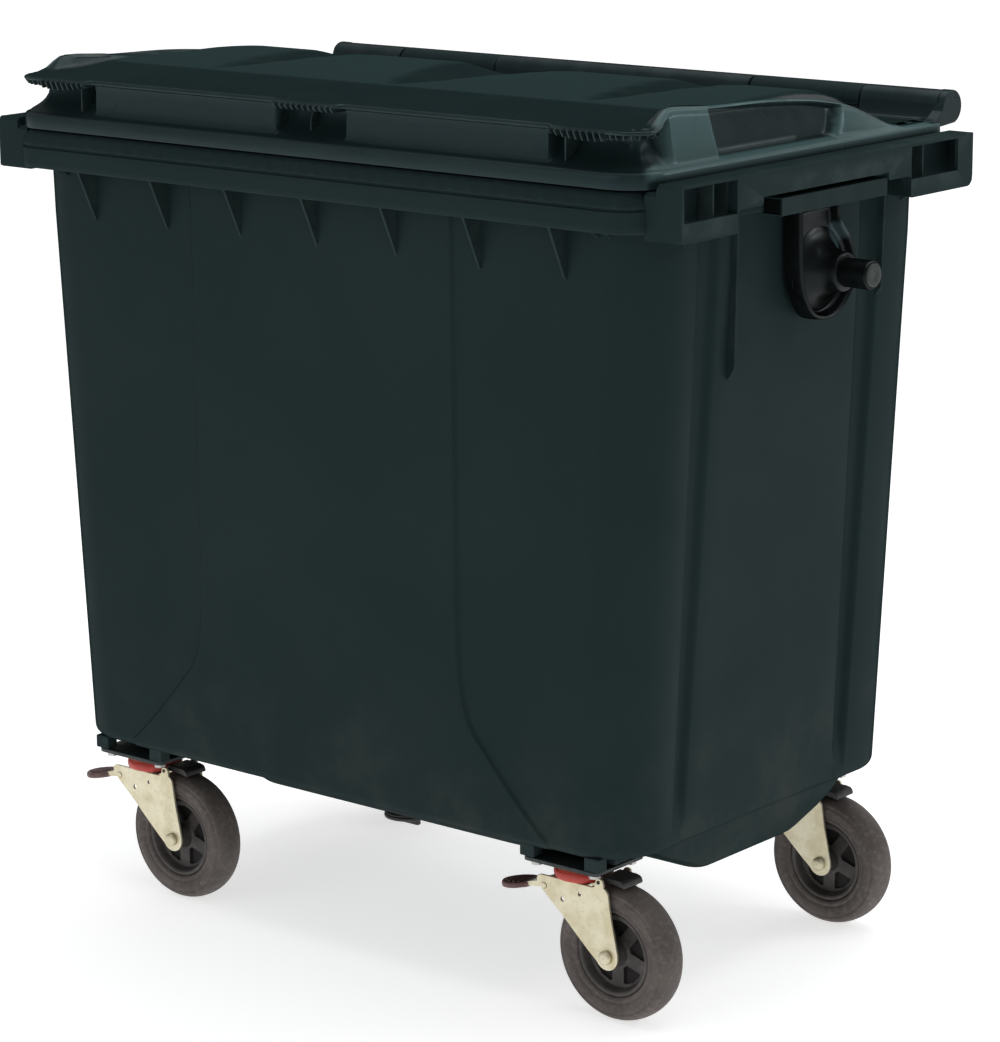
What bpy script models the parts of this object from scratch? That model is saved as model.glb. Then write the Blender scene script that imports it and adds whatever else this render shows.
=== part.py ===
# Four-wheeled wheelie bin, 660 litre class, with a hinged lid, side trunnions
# for the lifting arms and four braked swivel castors.
#
# Built in millimetres and scaled to metres, +Z up. X runs along the long side,
# Y from the front to the hinged rear. The world origin is on the floor, under
# the middle of the overall outline.
import math
from collections import namedtuple

import bmesh
import bpy
from mathutils import Matrix, Vector

# ---------------------------------------------------------------- sizes, mm
MM = 0.001
CENTRE_Y = 22.805        # the hinge bar overhangs the rear, so the middle of the overall
                         # depth lies this far behind the castors' middle, from which
                         # every Y below is measured
SIDES = (-1, 1)
SIDE_TAGS = (("left", -1), ("right", 1))

FLOOR_Z = 240.0          # underside of the tub between the castors
WALL = 6.0
CORNER_R = 85.0          # upright corners of the tub
RIM_X, RIM_F, RIM_B = 578.0, 358.6, 361.0   # rim outline: half width, front, back
RIM_BOTTOM, RIM_TOP = 1111.0, 1165.0
RIM_CORNER_R = 30
HALF_WIDTH = 632.5       # over the side grip beams (1265 overall)
BEAM_IN = 592.0          # the lid flange lies between the raised beams
BEAM_TOP = 1176.5
GUSSET_PITCH = 146.0
GUSSET_HALF = 2.5        # half the thickness of gussets and stiffeners

HINGE_Y, HINGE_Z = 381.0, 1207.0
HINGE = (0, HINGE_Y, HINGE_Z)
HINGE_END = 579.0        # outer end of the lid barrels
BARREL_R, LUG_R, PIN_R = 23.5, 20, 9.0
PIN_BORE_R = PIN_R + 0.6
LUGS = [(246, 268), (414, 436)]   # inner and outer X of the tub's hinge lugs, each side
LUG_GAP = 6              # between a lug and the lid barrel beside it
GRIP_GAP = 0.6           # between a lug and the rear grip beside it

LID_X, LID_F, LID_B = 586.0, 351.0, 352.0   # lid flange outline
LID_BOTTOM = 1167.0

TRUNNION_Y, TRUNNION_Z = 38.0, 1020.0
TRUNNION_R = 20.0
TRUNNION_END = 685.0     # outer end, 1370 over both trunnions
BRACKET_X = 585.5        # inner face of the trunnion bracket

DRAIN = (0, -150, 0)

CASTOR_X, CASTOR_Y = 416.0, 256.0
TRAIL = 65.0             # the wheels stand this far to +X of the swivel axis
WHEEL_R = 97.0
PAD_Z = 223.5            # underside of the tub's castor pad
PLATE_Z = 217.0          # underside of the castor top plate
CROWN_Z = 193.0          # top of the fork crown
FORK_IN, FORK_OUT = 29.2, 33.2   # faces of a fork leg, from the wheel's middle
BORE_R = 6.5             # kingpin and axle holes
PEDAL_X, PEDAL_Z = -44, 178      # brake pedal pivot, from the swivel axis
SHOE_X, SHOE_Z = 51.0, 202.0     # brake shoe pivot, from the swivel axis
BRAKE_PIN_HALF = 34.5    # half length of both brake cross pins

# ----------------------------------------------------------------- finishes
Finish = namedtuple("Finish", "colour metallic roughness")
GREEN = Finish(colour=(0.030, 0.052, 0.054, 1), metallic=0, roughness=0.5)
BLACK = Finish(colour=(0.012, 0.012, 0.013, 1), metallic=0.0, roughness=0.45)
HINGE_ZINC = Finish(colour=(0.62, 0.60, 0.48, 1), metallic=1.0, roughness=0.35)
CASTOR_ZINC = Finish(colour=(0.66, 0.63, 0.48, 1), metallic=1.0, roughness=0.38)
BRACKET_STEEL = Finish(colour=(0.02, 0.02, 0.022, 1), metallic=0.6, roughness=0.45)
TRUNNION_STEEL = Finish(colour=(0.02, 0.02, 0.022, 1), metallic=0.5, roughness=0.4)
CAP_GREY = Finish(colour=(0.10, 0.105, 0.105, 1), metallic=0.0, roughness=0.5)
SEAL_BLACK = Finish(colour=(0.01, 0.01, 0.01, 1), metallic=0, roughness=0.8)
PLATE_STEEL = Finish(colour=(0.035, 0.04, 0.04, 1), metallic=0.7, roughness=0.45)
RING_RED = Finish(colour=(0.52, 0.02, 0.015, 1), metallic=0, roughness=0.45)
HUB_BLACK = Finish(colour=(0.015, 0.015, 0.017, 1), metallic=0, roughness=0.5)
TYRE_RUBBER = Finish(colour=(0.045, 0.038, 0.036, 1), metallic=0, roughness=0.85)
PEDAL_RED = Finish(colour=(0.30, 0.10, 0.10, 1), metallic=0, roughness=0.5)

# -------------------------------------------------------------------- scene
for old in list(bpy.data.objects):
    bpy.data.objects.remove(old, do_unlink=True)

PARTS = bpy.data.collections.new("wheelie_bin")
CUTTERS = bpy.data.collections.new("cutters")
bpy.context.scene.collection.children.link(PARTS)
bpy.context.scene.collection.children.link(CUTTERS)


# ------------------------------------------------------------------ objects
def add_material(mesh, name, finish):
    mat = bpy.data.materials.new(name + "_mat")
    mat.use_nodes = True
    shader = mat.node_tree.nodes["Principled BSDF"]
    shader.inputs["Base Color"].default_value = finish.colour
    shader.inputs["Metallic"].default_value = finish.metallic
    shader.inputs["Roughness"].default_value = finish.roughness
    mat.diffuse_color = finish.colour
    mesh.materials.append(mat)


def place(name, mesh, origin, collection):
    ob = bpy.data.objects.new(name, mesh)
    ob.location = (Vector(origin) - Vector((0, CENTRE_Y, 0))) * MM
    collection.objects.link(ob)
    return ob


def finished_mesh(name, bm, mirror):
    """Mesh in metres from a bmesh in millimetres, mirrored in X if asked."""
    bmesh.ops.recalc_face_normals(bm, faces=bm.faces)
    mesh = bpy.data.meshes.new(name)
    bm.to_mesh(mesh)
    bm.free()
    if mirror:
        mesh.transform(Matrix.Scale(-1, 4, (1, 0, 0)))
        mesh.flip_normals()
    mesh.transform(Matrix.Scale(MM, 4))
    return mesh


def part(name, bm, origin, finish, smooth=True, mirror=False):
    mesh = finished_mesh(name, bm, mirror)
    add_material(mesh, name, finish)
    if smooth:
        mesh.shade_smooth()
        mesh.set_sharp_from_angle(angle=math.radians(35))
    return place(name, mesh, origin, PARTS)


def cutter(name, bm, origin=(0, 0, 0), mirror=False):
    """Hidden helper that drives a boolean."""
    ob = place(name, finished_mesh(name, bm, mirror), origin, CUTTERS)
    ob.hide_render = True
    ob.display_type = 'WIRE'
    return ob


def turned(name, profile, steps, origin, finish, axis='z'):
    """Screw a profile of (radius, height along the axis) about the object's own Z."""
    mesh = bpy.data.meshes.new(name)
    count = len(profile)
    edges = [(i, i + 1) for i in range(count - 1)]
    if all(r > 1e-6 for r, _ in profile):      # clear of the axis: a closed section
        edges.append((count - 1, 0))
    mesh.from_pydata([(r * MM, 0, h * MM) for r, h in profile], edges, [])
    add_material(mesh, name, finish)
    ob = place(name, mesh, origin, PARTS)
    ob.rotation_euler = {'x': (0, math.pi / 2, 0),
                         'y': (-math.pi / 2, 0, 0),
                         'z': (0, 0, 0)}[axis]
    screw = ob.modifiers.new("turn", 'SCREW')
    screw.axis = 'Z'
    screw.angle = 2 * math.pi
    screw.screw_offset = 0
    screw.steps = steps
    screw.render_steps = steps
    screw.use_merge_vertices = True
    screw.merge_threshold = 0.00001
    screw.use_normal_calculate = True
    screw.use_smooth_shade = True
    return ob


def boolean(ob, operand, operation):
    mod = ob.modifiers.new(operation.lower() + "_" + operand.name, 'BOOLEAN')
    mod.operation = operation
    mod.solver = 'EXACT'
    mod.object = operand


def unite(ob, operand):
    boolean(ob, operand, 'UNION')


def subtract(ob, operand):
    boolean(ob, operand, 'DIFFERENCE')


# ----------------------------------------------------------------- geometry
def skin(bm, lower, upper, flip=False):
    """Join two closed rows of vertices with quads."""
    for i in range(len(lower)):
        j = (i + 1) % len(lower)
        quad = (lower[i], lower[j], upper[j], upper[i])
        bm.faces.new(quad[::-1] if flip else quad)


def add_loft(bm, loops, closed=False):
    """Skin equal-length loops of points; capped, or closed end to start."""
    rows = [[bm.verts.new(p) for p in loop] for loop in loops]
    for lower, upper in zip(rows[:-1], rows[1:]):
        skin(bm, lower, upper)
    if closed:
        skin(bm, rows[-1], rows[0])
    else:
        bm.faces.new(rows[0][::-1])
        bm.faces.new(rows[-1])


def on_axis(axis, u, v, along):
    """Point at a distance along an axis; u and v are the other two, in order."""
    return {'x': (along, u, v), 'y': (u, along, v), 'z': (u, v, along)}[axis]


def add_prism(bm, outline, axis, span):
    add_loft(bm, [[on_axis(axis, u, v, along) for u, v in outline] for along in span])


def add_box(bm, *spans):
    """Box from its (low, high) spans in X, Y and Z."""
    middle = Matrix.Translation([(lo + hi) / 2 for lo, hi in spans])
    size = Matrix.Diagonal([hi - lo for lo, hi in spans] + [1])
    bmesh.ops.create_cube(bm, size=1, matrix=middle @ size)


def add_cylinder(bm, radius, axis, centre, span, segments=24, end_radius=None):
    """Cylinder, or cone frustum, about an axis through centre (other two axes)."""
    lo, hi = span
    turn = {'x': Matrix.Rotation(math.pi / 2, 4, 'Y'),
            'y': Matrix.Rotation(-math.pi / 2, 4, 'X'),
            'z': Matrix.Identity(4)}[axis]
    middle = Matrix.Translation(on_axis(axis, *centre, (lo + hi) / 2))
    bmesh.ops.create_cone(bm, cap_ends=True, segments=segments, radius1=radius,
                          radius2=radius if end_radius is None else end_radius,
                          depth=hi - lo, matrix=middle @ turn)


def side_span(side, inner, outer):
    """Low and high coordinate of a span on the -1 or +1 side."""
    return sorted((side * inner, side * outer))


def arc(u, v, radius, degrees):
    return [(u + radius * math.cos(math.radians(d)), v + radius * math.sin(math.radians(d)))
            for d in degrees]


def rounded_rect(half_x, front, back, radius, steps=4):
    points = []
    for u, v, start in ((half_x - radius, -front + radius, -90),
                        (half_x - radius, back - radius, 0),
                        (-half_x + radius, back - radius, 90),
                        (-half_x + radius, -front + radius, 180)):
        points += arc(u, v, radius, [start + 90 * k / steps for k in range(steps + 1)])
    return points


def move_origin(bm, origin):
    for vert in bm.verts:
        vert.co -= Vector(origin)


def rod_along_x(name, side, inner, outer, radius, y, z, segments, finish):
    """Round bar with its origin at its middle."""
    lo, hi = side_span(side, inner, outer)
    middle = (lo + hi) / 2
    bm = bmesh.new()
    add_cylinder(bm, radius, 'x', (0, 0), (lo - middle, hi - middle), segments)
    part(name, bm, (middle, y, z), finish)


def lerp(a, b, t):
    return a + (b - a) * t


def clamp01(t):
    return min(1.0, max(0.0, t))


def smoothstep(start, end, x):
    t = clamp01((x - start) / (end - start))
    return t * t * (3 - 2 * t)


def lookup(rows, key):
    """Linear look-up in rows of (key, value...)."""
    if key <= rows[0][0]:
        return rows[0][1:]
    for low, high in zip(rows[:-1], rows[1:]):
        if key <= high[0]:
            t = (key - low[0]) / (high[0] - low[0])
            return tuple(lerp(a, b, t) for a, b in zip(low[1:], high[1:]))
    return rows[-1][1:]


# ------------------------------------------------------------------ the tub
# z, half width, front depth, back depth of the wall's outer face
WALL_ROWS = [(FLOOR_Z, 531, 316, 341), (1040, 576, 320, 343), (RIM_TOP, 578, 322, 345)]
# z, half width of the raised middle panel on the front and back
PANEL_ROWS = [(FLOOR_Z, 405), (262, 385), (300, 345), (330, 318), (360, 288),
              (400, 257), (450, 246), (500, 242), (RIM_TOP, 240)]
PANEL_EDGE = 9           # width of the panel's sloping edge
PANEL_FRONT = 4.0        # how far the panel stands out at the front
PANEL_BACK = PANEL_FRONT * 0.6
GROOVE_DEPTH = 11.0      # upright grooves in the end walls
GROOVE_FADE = 60.0       # they fade in over this height
END_PANEL_STEP = 2       # the end wall between the grooves lies this far in


def tub_loop(z, inset=0.0):
    """One level of the tub wall: 44 points, counter-clockwise from above."""
    half_x, front, back = (size - inset for size in lookup(WALL_ROWS, z))
    (panel_x,) = lookup(PANEL_ROWS, z)
    radius = CORNER_R - inset
    depth = GROOVE_DEPTH * clamp01((z - FLOOR_Z) / GROOVE_FADE)
    t = (z - FLOOR_Z) / 840.0
    # the groove's four edges in the +X wall, from the corner to the middle
    groove = [(half_x, lerp(209, 216, t)),
              (half_x - depth, lerp(200, 202, t)),
              (half_x - depth, lerp(190, 180, t)),
              (half_x - END_PANEL_STEP, lerp(176, 160, t))]
    right = [(x, -y) for x, y in groove] + groove[::-1]
    left = [(-x, -y) for x, y in right]
    edge_x = panel_x + PANEL_EDGE

    def corner(side_x, y, start):
        return arc(side_x * (half_x - radius), y, radius,
                   [start + 22.5 * k for k in range(5)])

    points = [(-edge_x, -front), (-panel_x, -front - PANEL_FRONT),
              (panel_x, -front - PANEL_FRONT), (edge_x, -front)]
    points += corner(1, -front + radius, -90) + right + corner(1, back - radius, 0)
    points += [(edge_x, back), (panel_x, back + PANEL_BACK),
               (-panel_x, back + PANEL_BACK), (-edge_x, back)]
    points += corner(-1, back - radius, 90) + left + corner(-1, -front + radius, 180)
    return [(x, y, z) for x, y in points]


def level(loop, z, pull=0):
    """The loop moved to height z and pulled in on all sides."""
    return [(x - math.copysign(pull * min(1, abs(x) / 400), x),
             y - math.copysign(pull * min(1, abs(y) / 200), y), z) for x, y, _ in loop]


def tub_shell():
    bm = bmesh.new()
    loops = [level(tub_loop(246), FLOOR_Z, 7)]
    loops += [tub_loop(z) for z in (246, 262, 300, 360, 400, 450, 500)]
    loops.append(level(tub_loop(RIM_TOP), 1160.0))
    add_loft(bm, loops)
    return part("bin_body", bm, (0, 0, 0), GREEN)


def tub_cavity():
    bm = bmesh.new()
    loops = [level(tub_loop(252, WALL), FLOOR_Z + WALL, 6)]
    loops += [tub_loop(z, WALL) for z in (254, 262, 300, 360, 400, 500, RIM_TOP)]
    loops.append(level(tub_loop(RIM_TOP, WALL), 1230.0))
    add_loft(bm, loops)
    return cutter("cut_cavity", bm)


# inset from the rim outline, z: a lower flat band, a thin groove, a sloping
# band, then the seat
RIM_SECTION = [(0, RIM_BOTTOM), (0, 1139.5), (2.4, 1140.5), (2.4, 1143), (0.6, 1144),
               (11.5, 1162.5), (14, RIM_TOP), (40, RIM_TOP), (40, RIM_BOTTOM)]


def rim_band():
    bm = bmesh.new()
    loops = []
    for inset, z in RIM_SECTION:
        outline = rounded_rect(RIM_X - inset, RIM_F - inset, RIM_B - inset,
                               max(RIM_CORNER_R - inset, 6))
        loops.append([(x, y, z) for x, y in outline])
    add_loft(bm, loops, closed=True)
    return cutter("cut_rim", bm)


# y, z of a side beam's underside: deep boxes at both ends, and a stepped notch
# for the trunnion bar
BEAM_UNDERSIDE = [(-327, 1104), (-322, 1101.5), (-206, 1101.5), (-203, 1132), (-147, 1132),
                  (-147, 1143), (147, 1143), (147, 1132), (203, 1132), (206, 1101.5),
                  (350, 1101.5), (357, 1108), (360, 1118)]


def side_beams():
    bm = bmesh.new()
    for side in SIDES:
        loops = []
        for x, top in ((560, RIM_TOP), (BEAM_IN, RIM_TOP),
                       (BEAM_IN + 1, BEAM_TOP), (HALF_WIDTH, BEAM_TOP)):
            profile = BEAM_UNDERSIDE + [(360, top), (-323, top), (-327, top - 4)]
            loops.append([(side * x, y, z) for y, z in profile])
        add_loft(bm, loops)
    return cutter("cut_beams", bm)


# z, half depth in the middle, half depth between the castors, half width
BELLY_OUTSIDE = [(244, 236, 232, 524), (226, 214, 205, 523), (200, 194, 146, 518),
                 (186, 190, 118, 512), (180, 182, 106, 500)]
BELLY_INSIDE = [(260, 224, 216, 500), (228, 205, 195, 500), (204, 186, 138, 500),
                (187, 174, 100, 492)]


def belly(name, rows):
    """Lowered floor, waisted between the castors to follow their swing circles."""
    loops = []
    for z, middle_y, side_y, half_x in rows:
        quarter = [(0, -middle_y), (250, -middle_y), (290, -lerp(middle_y, side_y, 0.45)),
                   (330, -side_y), (half_x, -side_y)]
        right = quarter + [(x, -y) for x, y in quarter[::-1]]
        left = [(-x, y) for x, y in right[::-1]]
        loops.append([(x, y, z) for x, y in right[:-1] + left[:-1]])
    bm = bmesh.new()
    add_loft(bm, loops)
    return cutter(name, bm)


def pads_and_lugs():
    """Castor pads, and the hinge lugs on the rear rim."""
    bm = bmesh.new()
    for side_x in SIDES:
        for side_y in SIDES:
            x, y = side_x * CASTOR_X, side_y * CASTOR_Y
            add_box(bm, (x - 70, x + 70), (y - 57, y + 57), (PAD_Z, 243))
    outline = [(346, 1120), (361, 1116), (372, 1140), (386, 1178), (396, 1193)]
    outline += arc(HINGE_Y, HINGE_Z, LUG_R, (-10, 20, 50, 80, 110, 140, 165))
    outline += [(357.5, 1204), (357.5, 1163), (346, 1163)]
    for side in SIDES:
        for inner, outer in LUGS:
            add_prism(bm, outline, 'x', (side * inner, side * outer))
    return cutter("cut_pads_lugs", bm)


def hollows():
    """Hollows under the front and rear rim and the side beams."""
    bm = bmesh.new()
    add_box(bm, (-560, 560), (-RIM_F + 5, -331.5), (1090, 1157))
    add_box(bm, (-540, 540), (349, RIM_B - 5), (1090, 1157))
    for side in SIDES:
        add_box(bm, side_span(side, 597.5, HALF_WIDTH - 5.5), (-321, 354),
                (1085, BEAM_TOP - 6))
    return cutter("cut_hollows", bm)


def gussets_and_stiffeners():
    """Gussets under the front and rear rim, upright stiffeners on the ends."""
    bm = bmesh.new()
    front = [(-RIM_F + 1.5, 1112.5), (-RIM_F + 1.5, 1122), (-322, 1122), (-322, 1040),
             (-326, 1040)]
    rear = [(RIM_B - 1.5, 1112.5), (RIM_B - 1.5, 1122), (342, 1122), (342, 1060),
            (346, 1060)]
    for k in range(-3, 4):
        x = k * GUSSET_PITCH
        span = (x - GUSSET_HALF, x + GUSSET_HALF)
        add_prism(bm, front, 'x', span)
        if abs(k) != 2:      # the rear row has none at the second pitch
            add_prism(bm, rear, 'x', span)
    for side in SIDES:
        for y, foot_z in ((-133, 895), (214, 962)):
            outline = [(566, foot_z), (578, foot_z + 8), (583, 1112), (583, 1150), (566, 1150)]
            add_prism(bm, [(side * x, z) for x, z in outline], 'y',
                      (y - GUSSET_HALF, y + GUSSET_HALF))
    return cutter("cut_ribs", bm)


def windows_and_bores():
    """Grip windows in the beams' end boxes, and the pin bores in the lugs."""
    bm = bmesh.new()
    for side in SIDES:
        for y_span in ((-318, -212), (212, 328)):
            add_box(bm, side_span(side, 620, 640), y_span, (1137, 1170.2))
        add_cylinder(bm, PIN_BORE_R, 'x', (HINGE_Y, HINGE_Z), side_span(side, 230, 450), 16)
    return cutter("cut_windows", bm)


def drain_opening():
    bm = bmesh.new()
    add_cylinder(bm, 27, 'z', DRAIN[:2], (170, 200))
    return cutter("cut_drain", bm)


def build_body():
    body = tub_shell()
    unite(body, rim_band())
    unite(body, side_beams())
    unite(body, belly("cut_belly", BELLY_OUTSIDE))
    unite(body, pads_and_lugs())
    subtract(body, hollows())
    unite(body, gussets_and_stiffeners())
    subtract(body, tub_cavity())
    subtract(body, belly("cut_belly_inside", BELLY_INSIDE))
    subtract(body, windows_and_bores())
    subtract(body, drain_opening())


# ------------------------------------------------------------------ the lid
# y, height of the top
TOP_Y = [(-345, 1243), (-250, 1248), (-187, 1251), (-100, 1259), (0, 1265), (60, 1264),
         (114, 1252), (160, 1233), (192, 1217), (228, 1200), (252, 1189), (352, 1189)]
# y, height of the end walls' top edge
CHEEK_Y = [(-345, 1244), (-295, 1247), (-262, 1267), (-184, 1264), (-73, 1263), (20, 1254),
           (120, 1237), (249, 1191), (352, 1189)]
VALLEYS_X = (-345, 0, 345)
VALLEY_DEPTH = 9
# stations in X and Y around the lid's edge; each one is a feature edge
COLS = [-566, -558, -545, -495, -428, -418, -345, -240, -66, -58, 0,
        58, 66, 240, 345, 418, 428, 495, 545, 558, 566]
ROWS = [-345, -330, -297, -262, -184, -172, -60, 40, 102, 114, 160, 228, 252, 352]
COLS_HALF = 568.0        # half length of the rear edge that COLS are scaled from
LAST_COL, LAST_ROW = len(COLS) - 1, len(ROWS) - 1
# the top's border lies inside the edge stations: |x| of its outer three
# columns, y of its first two rows and of its last
TOP_BORDER_X = (552, 547, 541)
TOP_BORDER_FRONT = (-328, -321)
TOP_BORDER_BACK = 346


def crest(x, y):
    """Height of the top without the valleys."""
    return lerp(lookup(TOP_Y, y)[0], lookup(CHEEK_Y, y)[0], smoothstep(526, 552, abs(x)))


def lid_top(x, y):
    """Four soft pillows parted by three valleys that widen to the rear."""
    z = crest(x, y)
    along = smoothstep(-200, 40, y) * (1 - smoothstep(120, 215, y))
    width = 14 + 40 * smoothstep(-190, 150, y)
    for valley_x in VALLEYS_X:
        z -= VALLEY_DEPTH * along * max(0.0, 1 - (abs(x - valley_x) / width))
    return z


def lid_outline(half_x, front, back, front_r, back_r):
    """Rounded outline with one (edge, station, point) for each column and row.

    Counter-clockwise from above, starting at the front left.
    """
    front_y = -front + front_r
    back_x, back_y = half_x - back_r, back - back_r

    def corner(side, degrees):
        return arc(side * (half_x - front_r), front_y, front_r, [degrees])[0]

    def side_point(side, row):
        if row == 1:
            return corner(side, 340 if side > 0 else 200)
        y = max(front_y + 1, ROWS[row]) if row == 2 else ROWS[row]
        return (side * half_x, y)

    front_points = [(x, -front) for x in COLS]
    front_points[:3] = [corner(-1, 225), corner(-1, 250), (-(half_x - front_r), -front)]
    front_points[-3:] = [(half_x - front_r, -front), corner(1, 290), corner(1, 315)]
    points = [('front', x, point) for x, point in zip(COLS, front_points)]
    for row in range(1, LAST_ROW):
        points.append(('side', ROWS[row], side_point(1, row)))
    points.append(('side', ROWS[-1], arc(back_x, back_y, back_r, [45])[0]))
    for x in COLS[-2:0:-1]:
        points.append(('back', x, (x * back_x / COLS_HALF, back)))
    points.append(('back', COLS[0], arc(-back_x, back_y, back_r, [135])[0]))
    for row in range(LAST_ROW - 1, 0, -1):
        points.append(('side', ROWS[row], side_point(-1, row)))
    return points


def lid_ring(z, outline, pocket=0.0, panel=0.0, corner=0.0, under=None, follow=False):
    """One level of the lid's wall.

    pocket: depth of the front pockets, negative where they stand out as ears.
    panel, corner: depth of the recessed end panels and of the corner pockets.
    under: distance kept below the crest where it is low and where it is high.
    follow: run at that distance everywhere behind the front, instead of at z.
    """
    points = []
    for edge, station, (x, y) in lid_outline(*outline):
        on_front, on_side = edge == 'front', edge == 'side'
        point_z = z
        if on_front and (abs(station) < 62 or abs(station) > 423):
            y += pocket
        if on_side and -180 < station < 108:
            x -= math.copysign(panel, x)
        if (on_side and station < -290) or (on_front and abs(station) > 550):
            x -= math.copysign(corner, x)
        if under is not None and y > -300:
            top = crest(x, y)
            limit = top - lerp(under[0], under[1], clamp01((top - 1192) / 40.0))
            point_z = limit if follow else min(z, limit)
        points.append((x, y, point_z))
    return points


def top_grid(bm, drop, edge):
    """Grid of the top, lowered by drop and pulled in at its border by edge."""
    grid_x, grid_y = list(COLS), list(ROWS)
    for k, x in enumerate(TOP_BORDER_X):
        grid_x[k], grid_x[LAST_COL - k] = -(x - edge), x - edge
    for k, y in enumerate(TOP_BORDER_FRONT):
        grid_y[k] = y + edge
    grid_y[-1] = TOP_BORDER_BACK - edge
    return [[bm.verts.new((x, y, lid_top(x, y) - drop)) for x in grid_x] for y in grid_y]


def perimeter(grid):
    return (grid[0] + [row[-1] for row in grid[1:]] + grid[-1][-2::-1]
            + [row[0] for row in grid[-2:0:-1]])


def add_lid_shell(bm, rings, grid_drop, grid_edge, flip):
    """Skin the rings and close them with the top; returns the bottom row."""
    rows = [[bm.verts.new(p) for p in ring] for ring in rings]
    grid = top_grid(bm, grid_drop, grid_edge)
    for lower, upper in zip(rows[:-1], rows[1:]):
        skin(bm, lower, upper, flip)
    skin(bm, rows[-1], perimeter(grid), flip)
    for j in range(LAST_ROW):
        for i in range(LAST_COL):
            quad = (grid[j][i], grid[j][i + 1], grid[j + 1][i + 1], grid[j + 1][i])
            bm.faces.new((quad[0], *quad[:0:-1]) if flip else quad)
    return rows[0]


def lid_shell():
    # outline: half width, front, back, front corner radius, rear corner radius
    outer = [
        lid_ring(LID_BOTTOM, (LID_X, LID_F, LID_B, 60, 10)),
        lid_ring(1188.0, (LID_X - 1, LID_F - 1, LID_B, 60, 10), under=(9, 9)),
        lid_ring(1192.5, (574, 335, LID_B, 50, 10), pocket=22, panel=3, corner=14,
                 under=(7.5, 7.5)),
        lid_ring(1197.0, (571, 332, LID_B, 48, 10), pocket=26, panel=14, corner=20,
                 under=(6, 6)),
        lid_ring(1236.0, (567, 332, LID_B, 40, 10), pocket=22, panel=14, corner=16,
                 under=(4.5, 14), follow=True),
        lid_ring(1240.0, (568, 346, LID_B, 34, 10), pocket=-8, under=(3, 7), follow=True),
        lid_ring(1246.0, (566, 345, LID_B, 34, 10), pocket=-8, under=(1.5, 1.5),
                 follow=True),
    ]
    # a plainer shell about 5 mm in
    inner = [
        lid_ring(LID_BOTTOM, (LID_X - 5, LID_F - 5, LID_B - 5, 55, 8)),
        lid_ring(1183.5, (LID_X - 6, LID_F - 6, LID_B - 5, 54, 8), under=(9.5, 9.5)),
        lid_ring(1188.0, (565, 328, LID_B - 6, 44, 8), pocket=28, panel=16, corner=22,
                 under=(8.5, 8.5)),
        lid_ring(1226.0, (561, 325, LID_B - 8, 42, 8), pocket=28, panel=15, corner=20,
                 under=(7.5, 12)),
    ]
    bm = bmesh.new()
    outer_foot = add_lid_shell(bm, outer, 0, 0, flip=False)
    inner_foot = add_lid_shell(bm, inner, 6.0, 16, flip=True)
    skin(bm, inner_foot, outer_foot)
    move_origin(bm, HINGE)
    return part("lid", bm, HINGE, GREEN)


def lid_barrels():
    """Hinge barrels at the rear, between and outside the tub's lugs."""
    outline = [(344, 1176), (362, 1183)]
    outline += arc(HINGE_Y, HINGE_Z, BARREL_R, range(-135, 106, 24))
    outline += [(366, 1229), (358, 1220), (356, 1200), (344, 1187.5)]
    middle_end = LUGS[0][0] - LUG_GAP
    outer_start = LUGS[1][1] + LUG_GAP
    bm = bmesh.new()
    for span in ((-middle_end, middle_end), (outer_start, HINGE_END),
                 (-HINGE_END, -outer_start)):
        add_prism(bm, outline, 'x', span)
    move_origin(bm, HINGE)
    return cutter("cut_lid_barrels", bm, HINGE)


def lid_pinholes():
    bm = bmesh.new()
    for side in SIDES:
        add_cylinder(bm, PIN_BORE_R, 'x', (0, 0), side_span(side, 228, 620), 16)
    return cutter("cut_lid_pinholes", bm, HINGE)


def build_lid():
    lid = lid_shell()
    unite(lid, lid_barrels())
    subtract(lid, lid_pinholes())


# ----------------------------------------------- hinge pins and rear grips
def build_hinge_side(tag, side):
    """Hinge pin, and the round grip on it between the two lugs."""
    rod_along_x("hinge_pin_" + tag, side, 232, HINGE_END + 4, PIN_R, HINGE_Y, HINGE_Z,
                16, HINGE_ZINC)
    inner, outer = LUGS[0][1] + GRIP_GAP, LUGS[1][0] - GRIP_GAP
    half = (outer - inner) / 2
    profile = [(PIN_BORE_R, half), (20, half), (22.5, half - 3), (21.4, half - 20),
               (21.4, -half + 20), (22.5, -half + 3), (20, -half), (PIN_BORE_R, -half)]
    turned("rear_grip_" + tag, profile, 16, (side * (inner + outer) / 2, HINGE_Y, HINGE_Z),
           GREEN, 'x')


# --------------------------------------------------------------- trunnions
# y, z from the trunnion axis, of the bracket's curved tongue
TONGUE = [(-46, 92), (-45, 20), (-38, -8), (-24, -34), (-4, -54), (22, -66), (50, -68),
          (78, -58), (98, -38), (106, -12), (106, 10), (98, 30), (80, 46), (62, 60),
          (52, 76), (50, 92)]


def trunnion_box(x_span, half_y, z_span):
    """Box with a world height, about the trunnion axis."""
    bm = bmesh.new()
    add_box(bm, x_span, (-half_y - TRUNNION_Y, half_y - TRUNNION_Y),
            [z - TRUNNION_Z for z in z_span])
    return bm


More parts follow.
